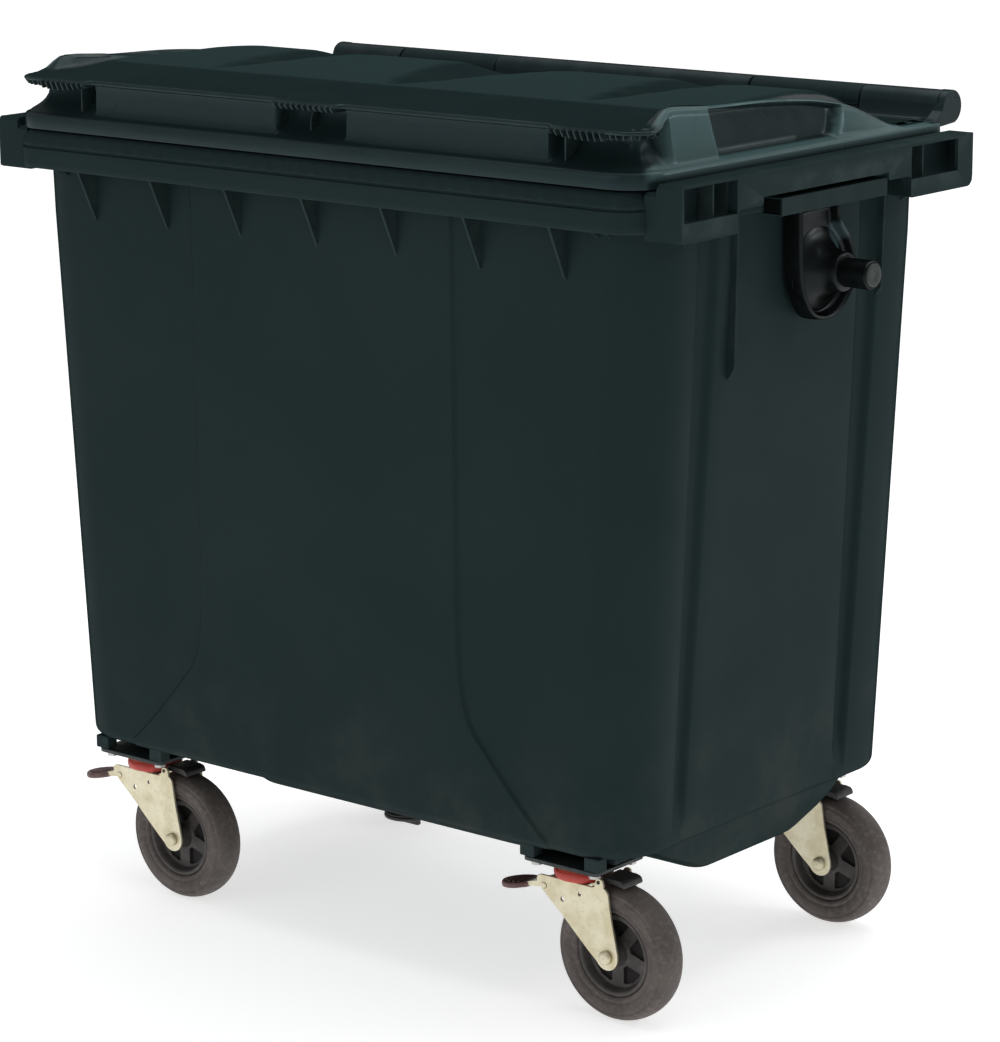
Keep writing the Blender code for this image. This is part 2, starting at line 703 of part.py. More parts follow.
def trunnion_bracket(tag, side):
    """Pressed steel bracket: tongue, hollow bar under the beam, and dish.

    Every piece is built for the +X side and mirrored for the other.
    """
    origin = (0, TRUNNION_Y, TRUNNION_Z)
    mirror = side < 0
    tongue = bmesh.new()
    add_prism(tongue, [(y - TRUNNION_Y, z) for y, z in TONGUE], 'x',
              (BRACKET_X, BRACKET_X + 7))
    bracket = part("trunnion_bracket_" + tag, tongue, origin, BRACKET_STEEL, mirror=mirror)

    bar = trunnion_box((BRACKET_X, 629), 144.5, (1111, 1141))
    bar_inside = trunnion_box((BRACKET_X + 12.5, 624), 134, (1100, 1135.5))
    dish = bmesh.new()
    add_cylinder(dish, 52, 'x', (0, 0), (BRACKET_X + 3, 636), end_radius=27)
    bore = bmesh.new()
    add_cylinder(bore, TRUNNION_R + 0.5, 'x', (0, 0), (BRACKET_X - 5, 645))
    for name, bm, combine in (("bar", bar, unite), ("in", bar_inside, subtract),
                              ("dish", dish, unite), ("bore", bore, subtract)):
        combine(bracket, cutter("cut_bracket_" + name + "_" + tag, bm, origin, mirror))


def build_trunnion(tag, side):
    trunnion_bracket(tag, side)
    rod_along_x("trunnion_pin_" + tag, side, BRACKET_X + 1, 679.5, TRUNNION_R,
                TRUNNION_Y, TRUNNION_Z, 24, TRUNNION_STEEL)
    rod_along_x("trunnion_cap_" + tag, side, 680.0, TRUNNION_END, TRUNNION_R - 1,
                TRUNNION_Y, TRUNNION_Z, 24, CAP_GREY)


# -------------------------------------------------------------- drain plug
def build_drain():
    bm = bmesh.new()
    add_cylinder(bm, 34, 'z', (0, 0), (169.5, 175.5), 20)
    plug = part("drain_plug", bm, DRAIN, BLACK)
    bm = bmesh.new()
    add_cylinder(bm, 25.5, 'z', (0, 0), (172, 196), 20)
    unite(plug, cutter("cut_plug_stem", bm, DRAIN))
    bm = bmesh.new()
    add_box(bm, (-24, 24), (-4, 4), (159, 172))
    unite(plug, cutter("cut_plug_bar", bm, DRAIN))
    turned("drain_seal",
           [(27.2, 179.4), (33, 179.4), (33.6, 178), (33, 176.2), (27.2, 176.2)],
           16, DRAIN, SEAL_BLACK)


# ----------------------------------------------------------------- castors
# x from the swivel axis, z of a fork leg: a round foot about the axle, the +X
# edge up to an ear for the shoe, the crown line, and the -X edge back down
FORK_LEG = arc(TRAIL, WHEEL_R, 19, (-140, -115, -90, -60, -30, 0)) + [
    (82.5, 104), (72, 150), (68, 188), (58, 195), (57, 205), (54, 207.5), (48, 207.5),
    (45, 205), (45, CROWN_Z), (-56, CROWN_Z), (-57, 186), (-52, 177), (-20, 152)]
# x, y from the swivel axis
FORK_CROWN = [(-56, -29), (-48, -FORK_OUT), (12, -FORK_OUT), (22, -29),
              (22, 29), (12, FORK_OUT), (-48, FORK_OUT), (-56, 29)]
# x, z from the pedal's pivot
PEDAL_ARM = [(-5, 5), (5, 5), (7, 0), (5, -5), (-6, -6), (-30, -13), (-44, -12), (-60, -16),
             (-96, -19), (-97, -15.5), (-62, -9), (-44, -5), (-30, -6)]
# x, y from the pedal's pivot; the leaf slopes down from its root
PEDAL_LEAF = [(-44, 9), (-58, 21), (-74, 24), (-92, 14), (-98, 0),
              (-92, -14), (-74, -24), (-58, -21), (-44, -9)]
LEAF_ROOT_X, LEAF_ROOT_Z, LEAF_SLOPE, LEAF_THICK = -44, -9, 0.16, 4.5
# x, z from the shoe's pivot
SHOE = [(-6, -3), (-6, 3), (-3, 5), (27, 4.5), (34, 1), (36, -6.5), (30, -5.2),
        (22, -3.6), (12, -3), (4, -3)]
# radius, height along the axis
KINGPIN = [(0, 222.5), (6, 222.5), (6, 186.2), (11, 186.2), (11, 182.5), (9, 181.5),
           (0, 181.5)]
SWIVEL_RING = [(30.3, 207.5), (39, 207.5), (42, 203), (41, 194), (30.3, 194)]
AXLE_BOLT = [(0, 42), (6, 42), (6, -33.6), (10.5, -33.6), (10.5, -38.5), (8.5, -40.5),
             (0, -40.5)]
HUB = [(6.6, 28.4), (15, 28.4), (19, 8), (50, 6), (56, 18), (60, 18),
       (60, -18), (56, -18), (50, -6), (19, -8), (15, -28.4), (6.6, -28.4)]
HUB_WINDOWS = 5
TYRE_STEPS = 28
TREAD_R = WHEEL_R / math.cos(math.pi / TYRE_STEPS)   # WHEEL_R is to the flat of a facet
TYRE = [(60.8, 19), (76, 24.5), (89, 23), (TREAD_R, 10),
        (TREAD_R, -10), (89, -23), (76, -24.5), (60.8, -19)]


def castor_mount(tag, swivel):
    """Top plate with its raceway and bolt heads, kingpin and swivel ring."""
    bm = bmesh.new()
    add_prism(bm, rounded_rect(65, 55, 55, 8, 2), 'z', (PLATE_Z, PLATE_Z + 6))
    plate = part("castor_plate_" + tag, bm, swivel, PLATE_STEEL)
    bm = bmesh.new()
    add_cylinder(bm, 29.5, 'z', (0, 0), (195.2, PLATE_Z + 2), 20)
    for side_x in SIDES:
        for side_y in SIDES:
            add_cylinder(bm, 9, 'z', (side_x * 50, side_y * 40), (PLATE_Z - 7, PLATE_Z + 2), 6)
    unite(plate, cutter("cut_race_" + tag, bm, swivel))
    bm = bmesh.new()
    add_cylinder(bm, BORE_R, 'z', (0, 0), (180, 230), 12)
    subtract(plate, cutter("cut_plate_bore_" + tag, bm, swivel))
    turned("kingpin_" + tag, KINGPIN, 12, swivel, CASTOR_ZINC)
    turned("swivel_ring_" + tag, SWIVEL_RING, 20, swivel, RING_RED)


def castor_fork(tag, swivel):
    bm = bmesh.new()
    add_prism(bm, FORK_CROWN, 'z', (186.5, CROWN_Z))
    fork = part("fork_" + tag, bm, swivel, CASTOR_ZINC)
    bm = bmesh.new()
    for side in SIDES:
        add_prism(bm, FORK_LEG, 'y', side_span(side, FORK_IN, FORK_OUT))
    unite(fork, cutter("cut_legs_" + tag, bm, swivel))
    bm = bmesh.new()
    add_cylinder(bm, BORE_R, 'z', (0, 0), (180, 200), 12)
    for radius, centre in ((BORE_R, (TRAIL, WHEEL_R)), (4.6, (PEDAL_X, PEDAL_Z)),
                           (3.7, (SHOE_X, SHOE_Z))):
        add_cylinder(bm, radius, 'y', centre, (-40, 40), 12)
    subtract(fork, cutter("cut_fork_holes_" + tag, bm, swivel))


def castor_axle(tag, axle):
    turned("axle_bolt_" + tag, AXLE_BOLT, 12, axle, CASTOR_ZINC, 'y')
    bm = bmesh.new()
    add_cylinder(bm, 10.5, 'y', (0, 0), (33.6, 41), 6)
    nut = part("axle_nut_" + tag, bm, axle, CASTOR_ZINC, smooth=False)
    bm = bmesh.new()
    add_cylinder(bm, BORE_R, 'y', (0, 0), (30, 45), 12)
    subtract(nut, cutter("cut_nut_" + tag, bm, axle))


def castor_wheel(tag, axle):
    """Hub with triangular windows, and the tyre."""
    hub = turned("hub_" + tag, HUB, 20, axle, HUB_BLACK, 'y')
    # the hub object is rotated, its cutter is not: the windows run along world Y
    bm = bmesh.new()
    for k in range(HUB_WINDOWS):
        angle = 2 * math.pi * k / HUB_WINDOWS + 0.3
        window = [(r * math.cos(a), r * math.sin(a))
                  for r, a in ((22, angle), (47, angle - 0.36), (47, angle + 0.36))]
        add_prism(bm, window, 'y', (-20, 20))
    subtract(hub, cutter("cut_hub_" + tag, bm, axle))
    tyre = turned("tyre_" + tag, TYRE, TYRE_STEPS, axle, TYRE_RUBBER, 'y')
    tyre.rotation_euler.y = math.pi / TYRE_STEPS     # a flat facet faces the floor


def cross_pin(name, radius, origin):
    bm = bmesh.new()
    add_cylinder(bm, radius, 'y', (0, 0), (-BRAKE_PIN_HALF, BRAKE_PIN_HALF), 12)
    return cutter(name, bm, origin)


def castor_brake(tag, x, y):
    """Pedal on its cross pin, and the shoe above the tyre."""
    pivot = (x + PEDAL_X, y, PEDAL_Z)
    bm = bmesh.new()
    add_prism(bm, PEDAL_ARM, 'y', (-9, 9))
    pedal = part("brake_pedal_" + tag, bm, pivot, PEDAL_RED)
    bm = bmesh.new()
    add_loft(bm, [[(u, v, LEAF_ROOT_Z + (u - LEAF_ROOT_X) * LEAF_SLOPE + rise)
                   for u, v in PEDAL_LEAF] for rise in (-LEAF_THICK, 0)])
    unite(pedal, cutter("cut_leaf_" + tag, bm, pivot))
    unite(pedal, cross_pin("cut_shaft_" + tag, 4, pivot))

    pivot = (x + SHOE_X, y, SHOE_Z)
    bm = bmesh.new()
    add_prism(bm, SHOE, 'y', (-21, 21))
    shoe = part("brake_shoe_" + tag, bm, pivot, BLACK)
    unite(shoe, cross_pin("cut_shoe_pin_" + tag, 3, pivot))


def build_castor(tag, x, y):
    swivel = (x, y, 0)
    axle = (x + TRAIL, y, WHEEL_R)
    castor_mount(tag, swivel)
    castor_fork(tag, swivel)
    castor_axle(tag, axle)
    castor_wheel(tag, axle)
    castor_brake(tag, x, y)


# ---------------------------------------------------------------- assembly
build_body()
build_lid()
for side_tag, side_sign in SIDE_TAGS:
    build_hinge_side(side_tag, side_sign)
    build_trunnion(side_tag, side_sign)
build_drain()
for castor_tag, sign_x, sign_y in (("fl", -1, -1), ("fr", 1, -1), ("rl", -1, 1), ("rr", 1, 1)):
    build_castor(castor_tag, sign_x * CASTOR_X, sign_y * CASTOR_Y)

# the cutters stay hidden; they only drive the booleans
for helper in CUTTERS.objects:
    helper.hide_set(True)
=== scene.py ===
import math

import bmesh
import bpy
import numpy as np
from mathutils import Matrix, Vector


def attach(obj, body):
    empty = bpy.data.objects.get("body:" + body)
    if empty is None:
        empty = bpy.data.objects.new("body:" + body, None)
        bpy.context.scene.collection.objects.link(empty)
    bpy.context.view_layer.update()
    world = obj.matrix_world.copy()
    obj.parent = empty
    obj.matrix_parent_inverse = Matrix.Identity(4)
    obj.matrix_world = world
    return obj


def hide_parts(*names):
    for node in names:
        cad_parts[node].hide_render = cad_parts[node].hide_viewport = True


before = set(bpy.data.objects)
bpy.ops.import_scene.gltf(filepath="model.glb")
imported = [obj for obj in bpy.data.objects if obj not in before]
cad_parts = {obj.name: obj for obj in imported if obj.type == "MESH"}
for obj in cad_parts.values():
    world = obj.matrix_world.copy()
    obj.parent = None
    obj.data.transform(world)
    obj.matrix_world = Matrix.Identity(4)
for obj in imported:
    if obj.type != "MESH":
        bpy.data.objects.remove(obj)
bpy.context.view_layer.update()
scene = bpy.context.scene

METRES = 0.001                      # metres in a millimetre
CENTRE_Y = 22.805                   # the frame's origin lies this far behind the castors' middle
WELD = 0.02
HINGE_Y, HINGE_Z = 381.0, 1207.0
TRUNNION = (0, 38.0, 1020.0)        # a point on the trunnions' common axis
DRAIN = (0, -150, 0)                # plan position of the drain hole
CASTOR_X, CASTOR_Y = 416.0, 256.0   # swivel axes, either side of the middle
AXLE_TRAIL = 65.0                   # from the swivel axis to the axle, along X
WHEEL_RADIUS = 97.0
SIDES = (("left", -1), ("right", 1))


# ==================================================================== geometry
def lerp(a, b, t):
    return a + (b - a) * t


def smooth(start, end, x):
    """Smooth step from 0 at start to 1 at end; start may be the larger."""
    t = min(1.0, max(0.0, (x - start) / (end - start)))
    return t * t * (3 - 2 * t)


def curve(rows, x):
    """Smooth look-up through rows of (x, value): cubic with damped slopes."""
    last = len(rows) - 1
    if x <= rows[0][0]:
        return rows[0][1]
    if x >= rows[last][0]:
        return rows[last][1]

    def slope(i):
        if i in (0, last):
            return 0.0
        before = (rows[i][1] - rows[i - 1][1]) / (rows[i][0] - rows[i - 1][0])
        after = (rows[i + 1][1] - rows[i][1]) / (rows[i + 1][0] - rows[i][0])
        return 0.0 if before * after <= 0 else 2 * before * after / (before + after)

    i = next(i for i in range(last) if x <= rows[i + 1][0])
    (x0, y0), (x1, y1) = rows[i], rows[i + 1]
    width = x1 - x0
    t = (x - x0) / width
    t2, t3 = t * t, t * t * t
    return ((2 * t3 - 3 * t2 + 1) * y0 + (t3 - 2 * t2 + t) * width * slope(i)
            + (-2 * t3 + 3 * t2) * y1 + (t3 - t2) * width * slope(i + 1))


def span(a, b, steps):
    """Even stations strictly between a and b."""
    return [lerp(a, b, k / steps) for k in range(1, steps)]


def arc(x, y, radius, degrees):
    return [(x + radius * math.cos(math.radians(d)), y + radius * math.sin(math.radians(d)))
            for d in degrees]


def shift(outline, by_x, by_y):
    return [(by_x + x, by_y + y) for x, y in outline]


def spline(keys, steps, closed=True):
    """Catmull-Rom outline through the key points."""
    count = len(keys)
    out = []
    for i in range(count if closed else count - 1):
        near = [(i + d) % count if closed else min(count - 1, max(0, i + d))
                for d in (-1, 0, 1, 2)]
        p0, p1, p2, p3 = (Vector(keys[k]) for k in near)
        for k in range(steps):
            t = k / steps
            point = 0.5 * ((2 * p1) + (-p0 + p2) * t + (2 * p0 - 5 * p1 + 4 * p2 - p3) * t * t
                           + (-p0 + 3 * p1 - 3 * p2 + p3) * t ** 3)
            out.append((point.x, point.y))
    return out if closed else out + [keys[-1]]


def hexagon(x, y, radius, turn):
    return [(x + radius * math.cos(turn + k * math.pi / 3),
             y + radius * math.sin(turn + k * math.pi / 3)) for k in range(6)]


def soft_plate(x, y, corners, radius_x, radius_y):
    """Rectangle about (x, y); corners gives its arc centres as (x low, x high, y)."""
    low, high, reach = corners
    out = []
    for side_x, side_y, start in ((high, -reach, -90), (high, reach, 0),
                                  (low, reach, 90), (low, -reach, 180)):
        for k in range(5):
            angle = math.radians(start + 22.5 * k)
            out.append((x + side_x + radius_x * math.cos(angle),
                        y + side_y + radius_y * math.sin(angle)))
    return out


def along(axis, pair, height):
    """3D point with the height on the axis and the pair on the other two."""
    i = 'xyz'.index(axis)
    return (*pair[:i], height, *pair[i:])


class Shape:
    """Collects vertices (mm) and faces; the building methods can be chained."""

    def __init__(self):
        self.points = []
        self.faces = []

    def loft(self, rows, caps=True, ring=True, around=False):
        """Join rows; ring closes each row, around joins the last row to the first."""
        base = len(self.points)
        size, count = len(rows[0]), len(rows)
        for row in rows:
            self.points.extend(row)
        for k in range(count if around else count - 1):
            here = base + k * size
            there = base + ((k + 1) % count) * size
            for i in range(size if ring else size - 1):
                j = (i + 1) % size
                self.faces.append((here + i, here + j, there + j, there + i))
        if caps and not around:
            self.faces.append(tuple(range(base + size - 1, base - 1, -1)))
            self.faces.append(tuple(range(base + (count - 1) * size, base + count * size)))
        return self

    def prism(self, outline, axis, start, end):
        return self.loft([[along(axis, p, h) for p in outline] for h in sorted((start, end))])

    def box(self, x0, x1, y0, y1, z0, z1):
        x0, x1 = sorted((x0, x1))
        y0, y1 = sorted((y0, y1))
        return self.prism([(x0, y0), (x1, y0), (x1, y1), (x0, y1)], 'z', z0, z1)

    def turn(self, profile, axis, centre, steps):
        """Revolve a closed profile of (radius, height) about the axis through centre."""
        rows = []
        for k in range(steps):
            angle = 2 * math.pi * k / steps
            cosine, sine = math.cos(angle), math.sin(angle)
            row = []
            for radius, height in profile:
                radius = max(radius, 1e-4)
                offset = along(axis, (radius * cosine, radius * sine), height)
                row.append(tuple(c + d for c, d in zip(centre, offset)))
            rows.append(row)
        return self.loft(rows, around=True)

    def mesh(self, name):
        mesh = bpy.data.meshes.new(name)
        mesh.from_pydata([(x * METRES, (y - CENTRE_Y) * METRES, z * METRES)
                          for x, y, z in self.points], [], self.faces)
        bm = bmesh.new()
        bm.from_mesh(mesh)
        bmesh.ops.remove_doubles(bm, verts=bm.verts, dist=WELD * METRES)
        bmesh.ops.recalc_face_normals(bm, faces=bm.faces)
        bm.to_mesh(mesh)
        bm.free()
        return mesh


# ===================================================================== objects
def add_object(name, shape):
    ob = bpy.data.objects.new(name, shape.mesh(name))
    scene.collection.objects.link(ob)
    return ob


def apply_modifiers(ob):
    graph = bpy.context.evaluated_depsgraph_get()
    mesh = bpy.data.meshes.new_from_object(ob.evaluated_get(graph), depsgraph=graph)
    ob.modifiers.clear()
    old = ob.data
    ob.data = mesh
    mesh.name = ob.name
    bpy.data.meshes.remove(old)


def combine(ob, shape, operation):
    cutter = add_object("cutter", shape)
    modifier = ob.modifiers.new(operation, 'BOOLEAN')
    modifier.operation = operation
    modifier.solver = 'EXACT'
    modifier.object = cutter
    apply_modifiers(ob)
    bpy.data.objects.remove(cutter, do_unlink=True)


def round_edges(ob, width, segments, angle):
    modifier = ob.modifiers.new("round", 'BEVEL')
    modifier.width = width * METRES
    modifier.segments = segments
    modifier.limit_method = 'ANGLE'
    modifier.angle_limit = math.radians(angle)
    modifier.harden_normals = True
    modifier.miter_outer = 'MITER_ARC'
    modifier.use_clamp_overlap = True
    ob.data.shade_smooth()
    apply_modifiers(ob)


def smooth_shade(ob, angle):
    ob.data.shade_smooth()
    ob.data.set_sharp_from_angle(angle=math.radians(angle))


def paint(ob, material):
    ob.data.materials.clear()
    ob.data.materials.append(material)


def dress(ob, body, slot, material, *nodes):
    """Material and body for a piece, and the CAD nodes it replaces."""
    paint(ob, material)
    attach(ob, body)
    if nodes:
        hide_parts(*nodes)


def finish(ob, *look, joins=(), cuts=(), bevel=None, segments=2, angle=30, sharp=None):
    """Boolean shapes, then a bevel (mm) or smooth shading (sharp, degrees), then the look."""
    for shape in joins:
        combine(ob, shape, 'UNION')
    for shape in cuts:
        combine(ob, shape, 'DIFFERENCE')
    if bevel:
        round_edges(ob, bevel, segments, angle)
    if sharp:
        smooth_shade(ob, sharp)
    dress(ob, *look)


def part(name, shape, *look, **options):
    finish(add_object(name, shape), *look, **options)


def bin_part(name, shape, *nodes, **options):
    part(name, shape, "bin", "bin_plastic", GREEN, *nodes, **options)


def lid_part(name, shape, *nodes, **options):
    part(name, shape, "lid", "lid_plastic", GREEN_LID, *nodes, **options)


# =================================================================== materials
def rgb(red, green, blue):
    return (red, green, blue, 1.0)


def tint(colour, gain, add=0.0):
    return rgb(*[min(1, c * gain + add) for c in colour])


class Shader:
    """A principled material with procedural masks; colour is built up in layers."""

    def __init__(self, name):
        self.material = bpy.data.materials.new(name)
        self.material.use_nodes = True
        self.tree = self.material.node_tree
        self.tree.nodes.clear()
        output = self.node("OutputMaterial")
        self.surface = self.node("BsdfPrincipled")
        self.link(self.surface.outputs[0], output.inputs[0])
        self.place = self.node("TexCoord").outputs["Object"]
        self.colour = None

    def node(self, kind):
        return self.tree.nodes.new("ShaderNode" + kind)

    def link(self, source, target):
        self.tree.links.new(source, target)

    def feed(self, socket, value):
        if isinstance(value, bpy.types.NodeSocket):
            self.link(value, socket)
        else:
            socket.default_value = value

    def put(self, name, value):
        self.feed(self.surface.inputs[name], value)

    def space(self, scale, turn=(0, 0, 0)):
        mapping = self.node("Mapping")
        mapping.inputs["Scale"].default_value = scale
        mapping.inputs["Rotation"].default_value = turn
        self.link(self.place, mapping.inputs["Vector"])
        return mapping.outputs[0]

    def noise(self, scale, detail=3, rough=0.5, space=None, distortion=0.0):
        node = self.node("TexNoise")
        node.inputs["Scale"].default_value = scale
        node.inputs["Detail"].default_value = detail
        node.inputs["Roughness"].default_value = rough
        node.inputs["Distortion"].default_value = distortion
        self.link(space or self.place, node.inputs["Vector"])
        return node.outputs[0]

    def ramp(self, value, between, to=(0.0, 1.0)):
        """Smooth step over the range `between`, mapped to the range `to`."""
        node = self.node("MapRange")
        node.inputs["From Min"].default_value = between[0]
        node.inputs["From Max"].default_value = between[1]
        node.inputs["To Min"].default_value = to[0]
        node.inputs["To Max"].default_value = to[1]
        node.interpolation_type = 'SMOOTHSTEP'
        self.link(value, node.inputs["Value"])
        return node.outputs[0]

    def patches(self, between, to=(0.0, 1.0), **noise):
        return self.ramp(self.noise(**noise), between, to)

    def mix(self, factor, under, over):
        node = self.node("Mix")
        node.data_type = 'RGBA'
        self.feed(node.inputs[0], factor)
        self.feed(node.inputs[6], under)
        self.feed(node.inputs[7], over)
        return node.outputs[2]

    def calc(self, operation, a, b=0.0):
        node = self.node("Math")
        node.operation = operation
        self.feed(node.inputs[0], a)
        self.feed(node.inputs[1], b)
        return node.outputs[0]

    def blotches(self, base, light, between, **noise):
        """First colour layer: two colours blended by noise."""
        self.colour = self.mix(self.patches(between, **noise), rgb(*base), rgb(*light))

    def cover(self, mask, amount, over):
        """Next colour layer, laid on through a mask."""
        self.colour = self.mix(self.calc('MULTIPLY', mask, amount), self.colour, over)

    def edges(self, between):
        return self.ramp(self.node("NewGeometry").outputs["Pointiness"], between)

    def separate(self, vector):
        node = self.node("SeparateXYZ")
        self.link(vector, node.inputs[0])
        return node.outputs

    def gloss(self, low, high, **noise):
        """Patchy roughness between two levels."""
        return self.patches(between=(0.3, 0.7), to=(low, high), **noise)

    def sheen_fade(self, level, sheen_tint, flat_fade=False):
        """Reflection that fades out at grazing angles, and on level faces if asked."""
        layer = self.node("LayerWeight")
        layer.inputs["Blend"].default_value = 0.5
        out = self.ramp(layer.outputs["Facing"], between=(0.35, 0.80), to=(level, 0.0))
        if flat_fade:
            upward = self.separate(self.node("NewGeometry").outputs["Normal"])[2]
            out = self.calc('MULTIPLY', out, self.ramp(upward, between=(0.965, 0.88)))
        self.put("Specular IOR Level", out)
        self.put("Specular Tint", rgb(*sheen_tint))

    def bumps(self, rows):
        """Stacked noise bumps; rows as in the grain tables below."""
        normal = None
        for scale, detail, rough, strength, distance in rows:
            node = self.node("Bump")
            node.inputs["Strength"].default_value = strength
            node.inputs["Distance"].default_value = distance
            self.link(self.noise(scale, detail, rough), node.inputs["Height"])
            if normal:
                self.link(normal, node.inputs["Normal"])
            normal = node.outputs[0]
        self.put("Normal", normal)

    def done(self):
        self.put("Base Color", self.colour)
        return self.material


# surface grain: noise scale, detail, roughness, bump strength, distance (m)
PLASTIC_GRAIN = [(7, 2, 0.5, 0.10, 0.004), (210, 3, 0.6, 0.05, 0.0006), (900, 2, 0.6, 0.10, 0.0002)]
METAL_GRAIN = [(18, 2, 0.5, 0.12, 0.001), (500, 3, 0.6, 0.10, 0.0002)]
COATED_GRAIN = [(60, 3, 0.5, 0.12, 0.0008), (700, 3, 0.6, 0.12, 0.0002)]
ENAMEL_GRAIN = [(60, 3, 0.5, 0.10, 0.0008), (700, 3, 0.6, 0.10, 0.0002)]
RUBBER_GRAIN = [(55, 4, 0.6, 0.25, 0.0008), (600, 3, 0.6, 0.20, 0.0003)]


def plastic(name, base, light, rough=0.42, spec=0.5, cheeks=0.0):
    """Satin moulded plastic; cheeks is the strength of the painted highlight on the lid's outer
    flanks, and any cheeks also turns on the painted highlight on the raised panels.
    """
    sh = Shader(name)
    sh.blotches(base, light, between=(0.35, 0.7), scale=3.2, detail=4, rough=0.55)
    specks = sh.patches(between=(0.62, 0.74), scale=420, detail=2, rough=0.6)
    sh.cover(specks, amount=0.16, over=tint(light, gain=2.4, add=0.01))
    # scuffs: two sets of stretched streaks, gathered in patches
    streaks = sh.patches(between=(0.66, 0.74), scale=38, detail=4, rough=0.7,
                         space=sh.space(scale=(1, 1, 9), turn=(0.2, 0.1, 0.35)))
    crossing = sh.patches(between=(0.68, 0.75), scale=46, detail=4, rough=0.7,
                          space=sh.space(scale=(1, 8, 1), turn=(0.9, 0.2, 0.1)))
    marks = sh.calc('MULTIPLY', sh.calc('MAXIMUM', streaks, crossing),
                    sh.patches(between=(0.45, 0.65), scale=5))
    sh.cover(marks, amount=0.10, over=rgb(0.16, 0.19, 0.19))
    wear = sh.calc('MULTIPLY', sh.edges(between=(0.515, 0.60)),
                   sh.patches(between=(0.35, 0.7), to=(0.25, 1.0), scale=24, detail=4, rough=0.6))
    sh.cover(wear, amount=0.22, over=rgb(0.10, 0.135, 0.135))
    # dust, thicker from 0.5 m down to 0.2 m
    dust = sh.calc('MULTIPLY', sh.ramp(sh.separate(sh.place)[2], between=(0.50, 0.20)),
                   sh.patches(between=(0.42, 0.72), scale=9, detail=5, rough=0.65))
    sh.cover(dust, amount=0.25, over=rgb(0.075, 0.075, 0.065))
    if cheeks:
        # painted highlights from the colour attribute: red lightens the raised panels' tops, green
        # lightens the outer flanks of the cheeks
        attribute = sh.node("Attribute")
        attribute.attribute_name = "painted_light"
        painted_light = sh.node("SeparateColor")
        sh.link(attribute.outputs["Color"], painted_light.inputs[0])
        sh.cover(painted_light.outputs[0], amount=0.62, over=tint(light, gain=2.0))
        sh.cover(painted_light.outputs[1], amount=cheeks, over=tint(light, gain=5.6))
    gloss = sh.gloss(rough - 0.05, rough + 0.07, scale=14, detail=4, rough=0.6)
    sh.put("Roughness", sh.calc('ADD', gloss, sh.calc('MULTIPLY', marks, 0.10)))
    sh.sheen_fade(spec, sheen_tint=(0.62, 0.92, 1.0), flat_fade=bool(cheeks))
    sh.bumps(PLASTIC_GRAIN)
    return sh.done()


def metal(name, base, alt, rough, metallic):
    """Zinc plate with fine mottling and a few brown spots."""
    sh = Shader(name)
    sh.blotches(base, alt, between=(0.35, 0.68), scale=26, detail=4, rough=0.6)
    fine = sh.patches(between=(0.55, 0.72), scale=160, rough=0.6)
    sh.cover(fine, amount=0.35, over=tint(alt, gain=0.62))
    spots = sh.patches(between=(0.69, 0.76), scale=75, detail=5, rough=0.7)
    sh.cover(spots, amount=0.55, over=rgb(0.20, 0.13, 0.07))
    sh.put("Metallic", metallic)
    sh.put("Roughness", sh.gloss(rough - 0.024, rough + 0.12, scale=60, rough=0.6,
                                 space=sh.space(scale=(1, 1, 12))))
    sh.bumps(METAL_GRAIN)
    return sh.done()


def coated(name, base, light, rough, dust, metallic=0.0, spec=0.5):
    """Painted or moulded dark parts with dust and rubbed edges."""
    sh = Shader(name)
    sh.blotches(base, light, between=(0.4, 0.7), scale=30, detail=4, rough=0.6)
    dusty = sh.patches(between=(0.48, 0.75), scale=70, detail=5, rough=0.7)
    sh.cover(dusty, amount=dust, over=rgb(0.13, 0.115, 0.105))
    sh.cover(sh.edges(between=(0.52, 0.60)), amount=0.35, over=tint(light, gain=2.2, add=0.03))
    sh.put("Metallic", metallic)
    sh.put("Specular IOR Level", spec)
    sh.put("Roughness", sh.gloss(rough - 0.06, rough + 0.12, scale=45, detail=4, rough=0.6))
    sh.bumps(COATED_GRAIN)
    return sh.done()


def enamel(name):
    """Black stoved enamel on pressed steel, with one painted highlight, a teal reflection oval seen
    from the side.
    """
    glint_y, glint_z = 0.052, 1.0660                # centre of the oval, metres
    sh = Shader(name)
    sh.blotches(base=(0.0022, 0.0028, 0.0028), light=(0.0042, 0.0050, 0.0050),
                between=(0.4, 0.7), scale=30, detail=4, rough=0.6)
    place = sh.separate(sh.place)
    off_y = sh.calc('ADD', place[1], -glint_y)
    off_z = sh.calc('ADD', place[2], -glint_z)
    flattened = sh.calc('MULTIPLY', sh.calc('MULTIPLY', off_z, off_z), 0.45)
    distance = sh.calc('SQRT', sh.calc('ADD', sh.calc('MULTIPLY', off_y, off_y), flattened))
    ragged = sh.calc('ADD', sh.noise(scale=40, detail=4, rough=0.6), -0.5)
    distance = sh.calc('ADD', distance, sh.calc('MULTIPLY', ragged, 0.016))
    # painted highlight: a teal reflection of the body laid into the colour as a ragged oval
    sh.cover(sh.ramp(distance, between=(0.019, 0.009)), amount=0.8, over=rgb(0.050, 0.082, 0.088))
    scuffs = sh.patches(between=(0.60, 0.70), scale=90, detail=5, rough=0.75)
    sh.cover(scuffs, amount=0.25, over=rgb(0.012, 0.014, 0.014))
    sh.put("Roughness", sh.gloss(0.26, 0.40, scale=45, detail=4, rough=0.6))
    sh.sheen_fade(0.22, sheen_tint=(0.8, 0.95, 1.0))
    sh.bumps(ENAMEL_GRAIN)
    return sh.done()


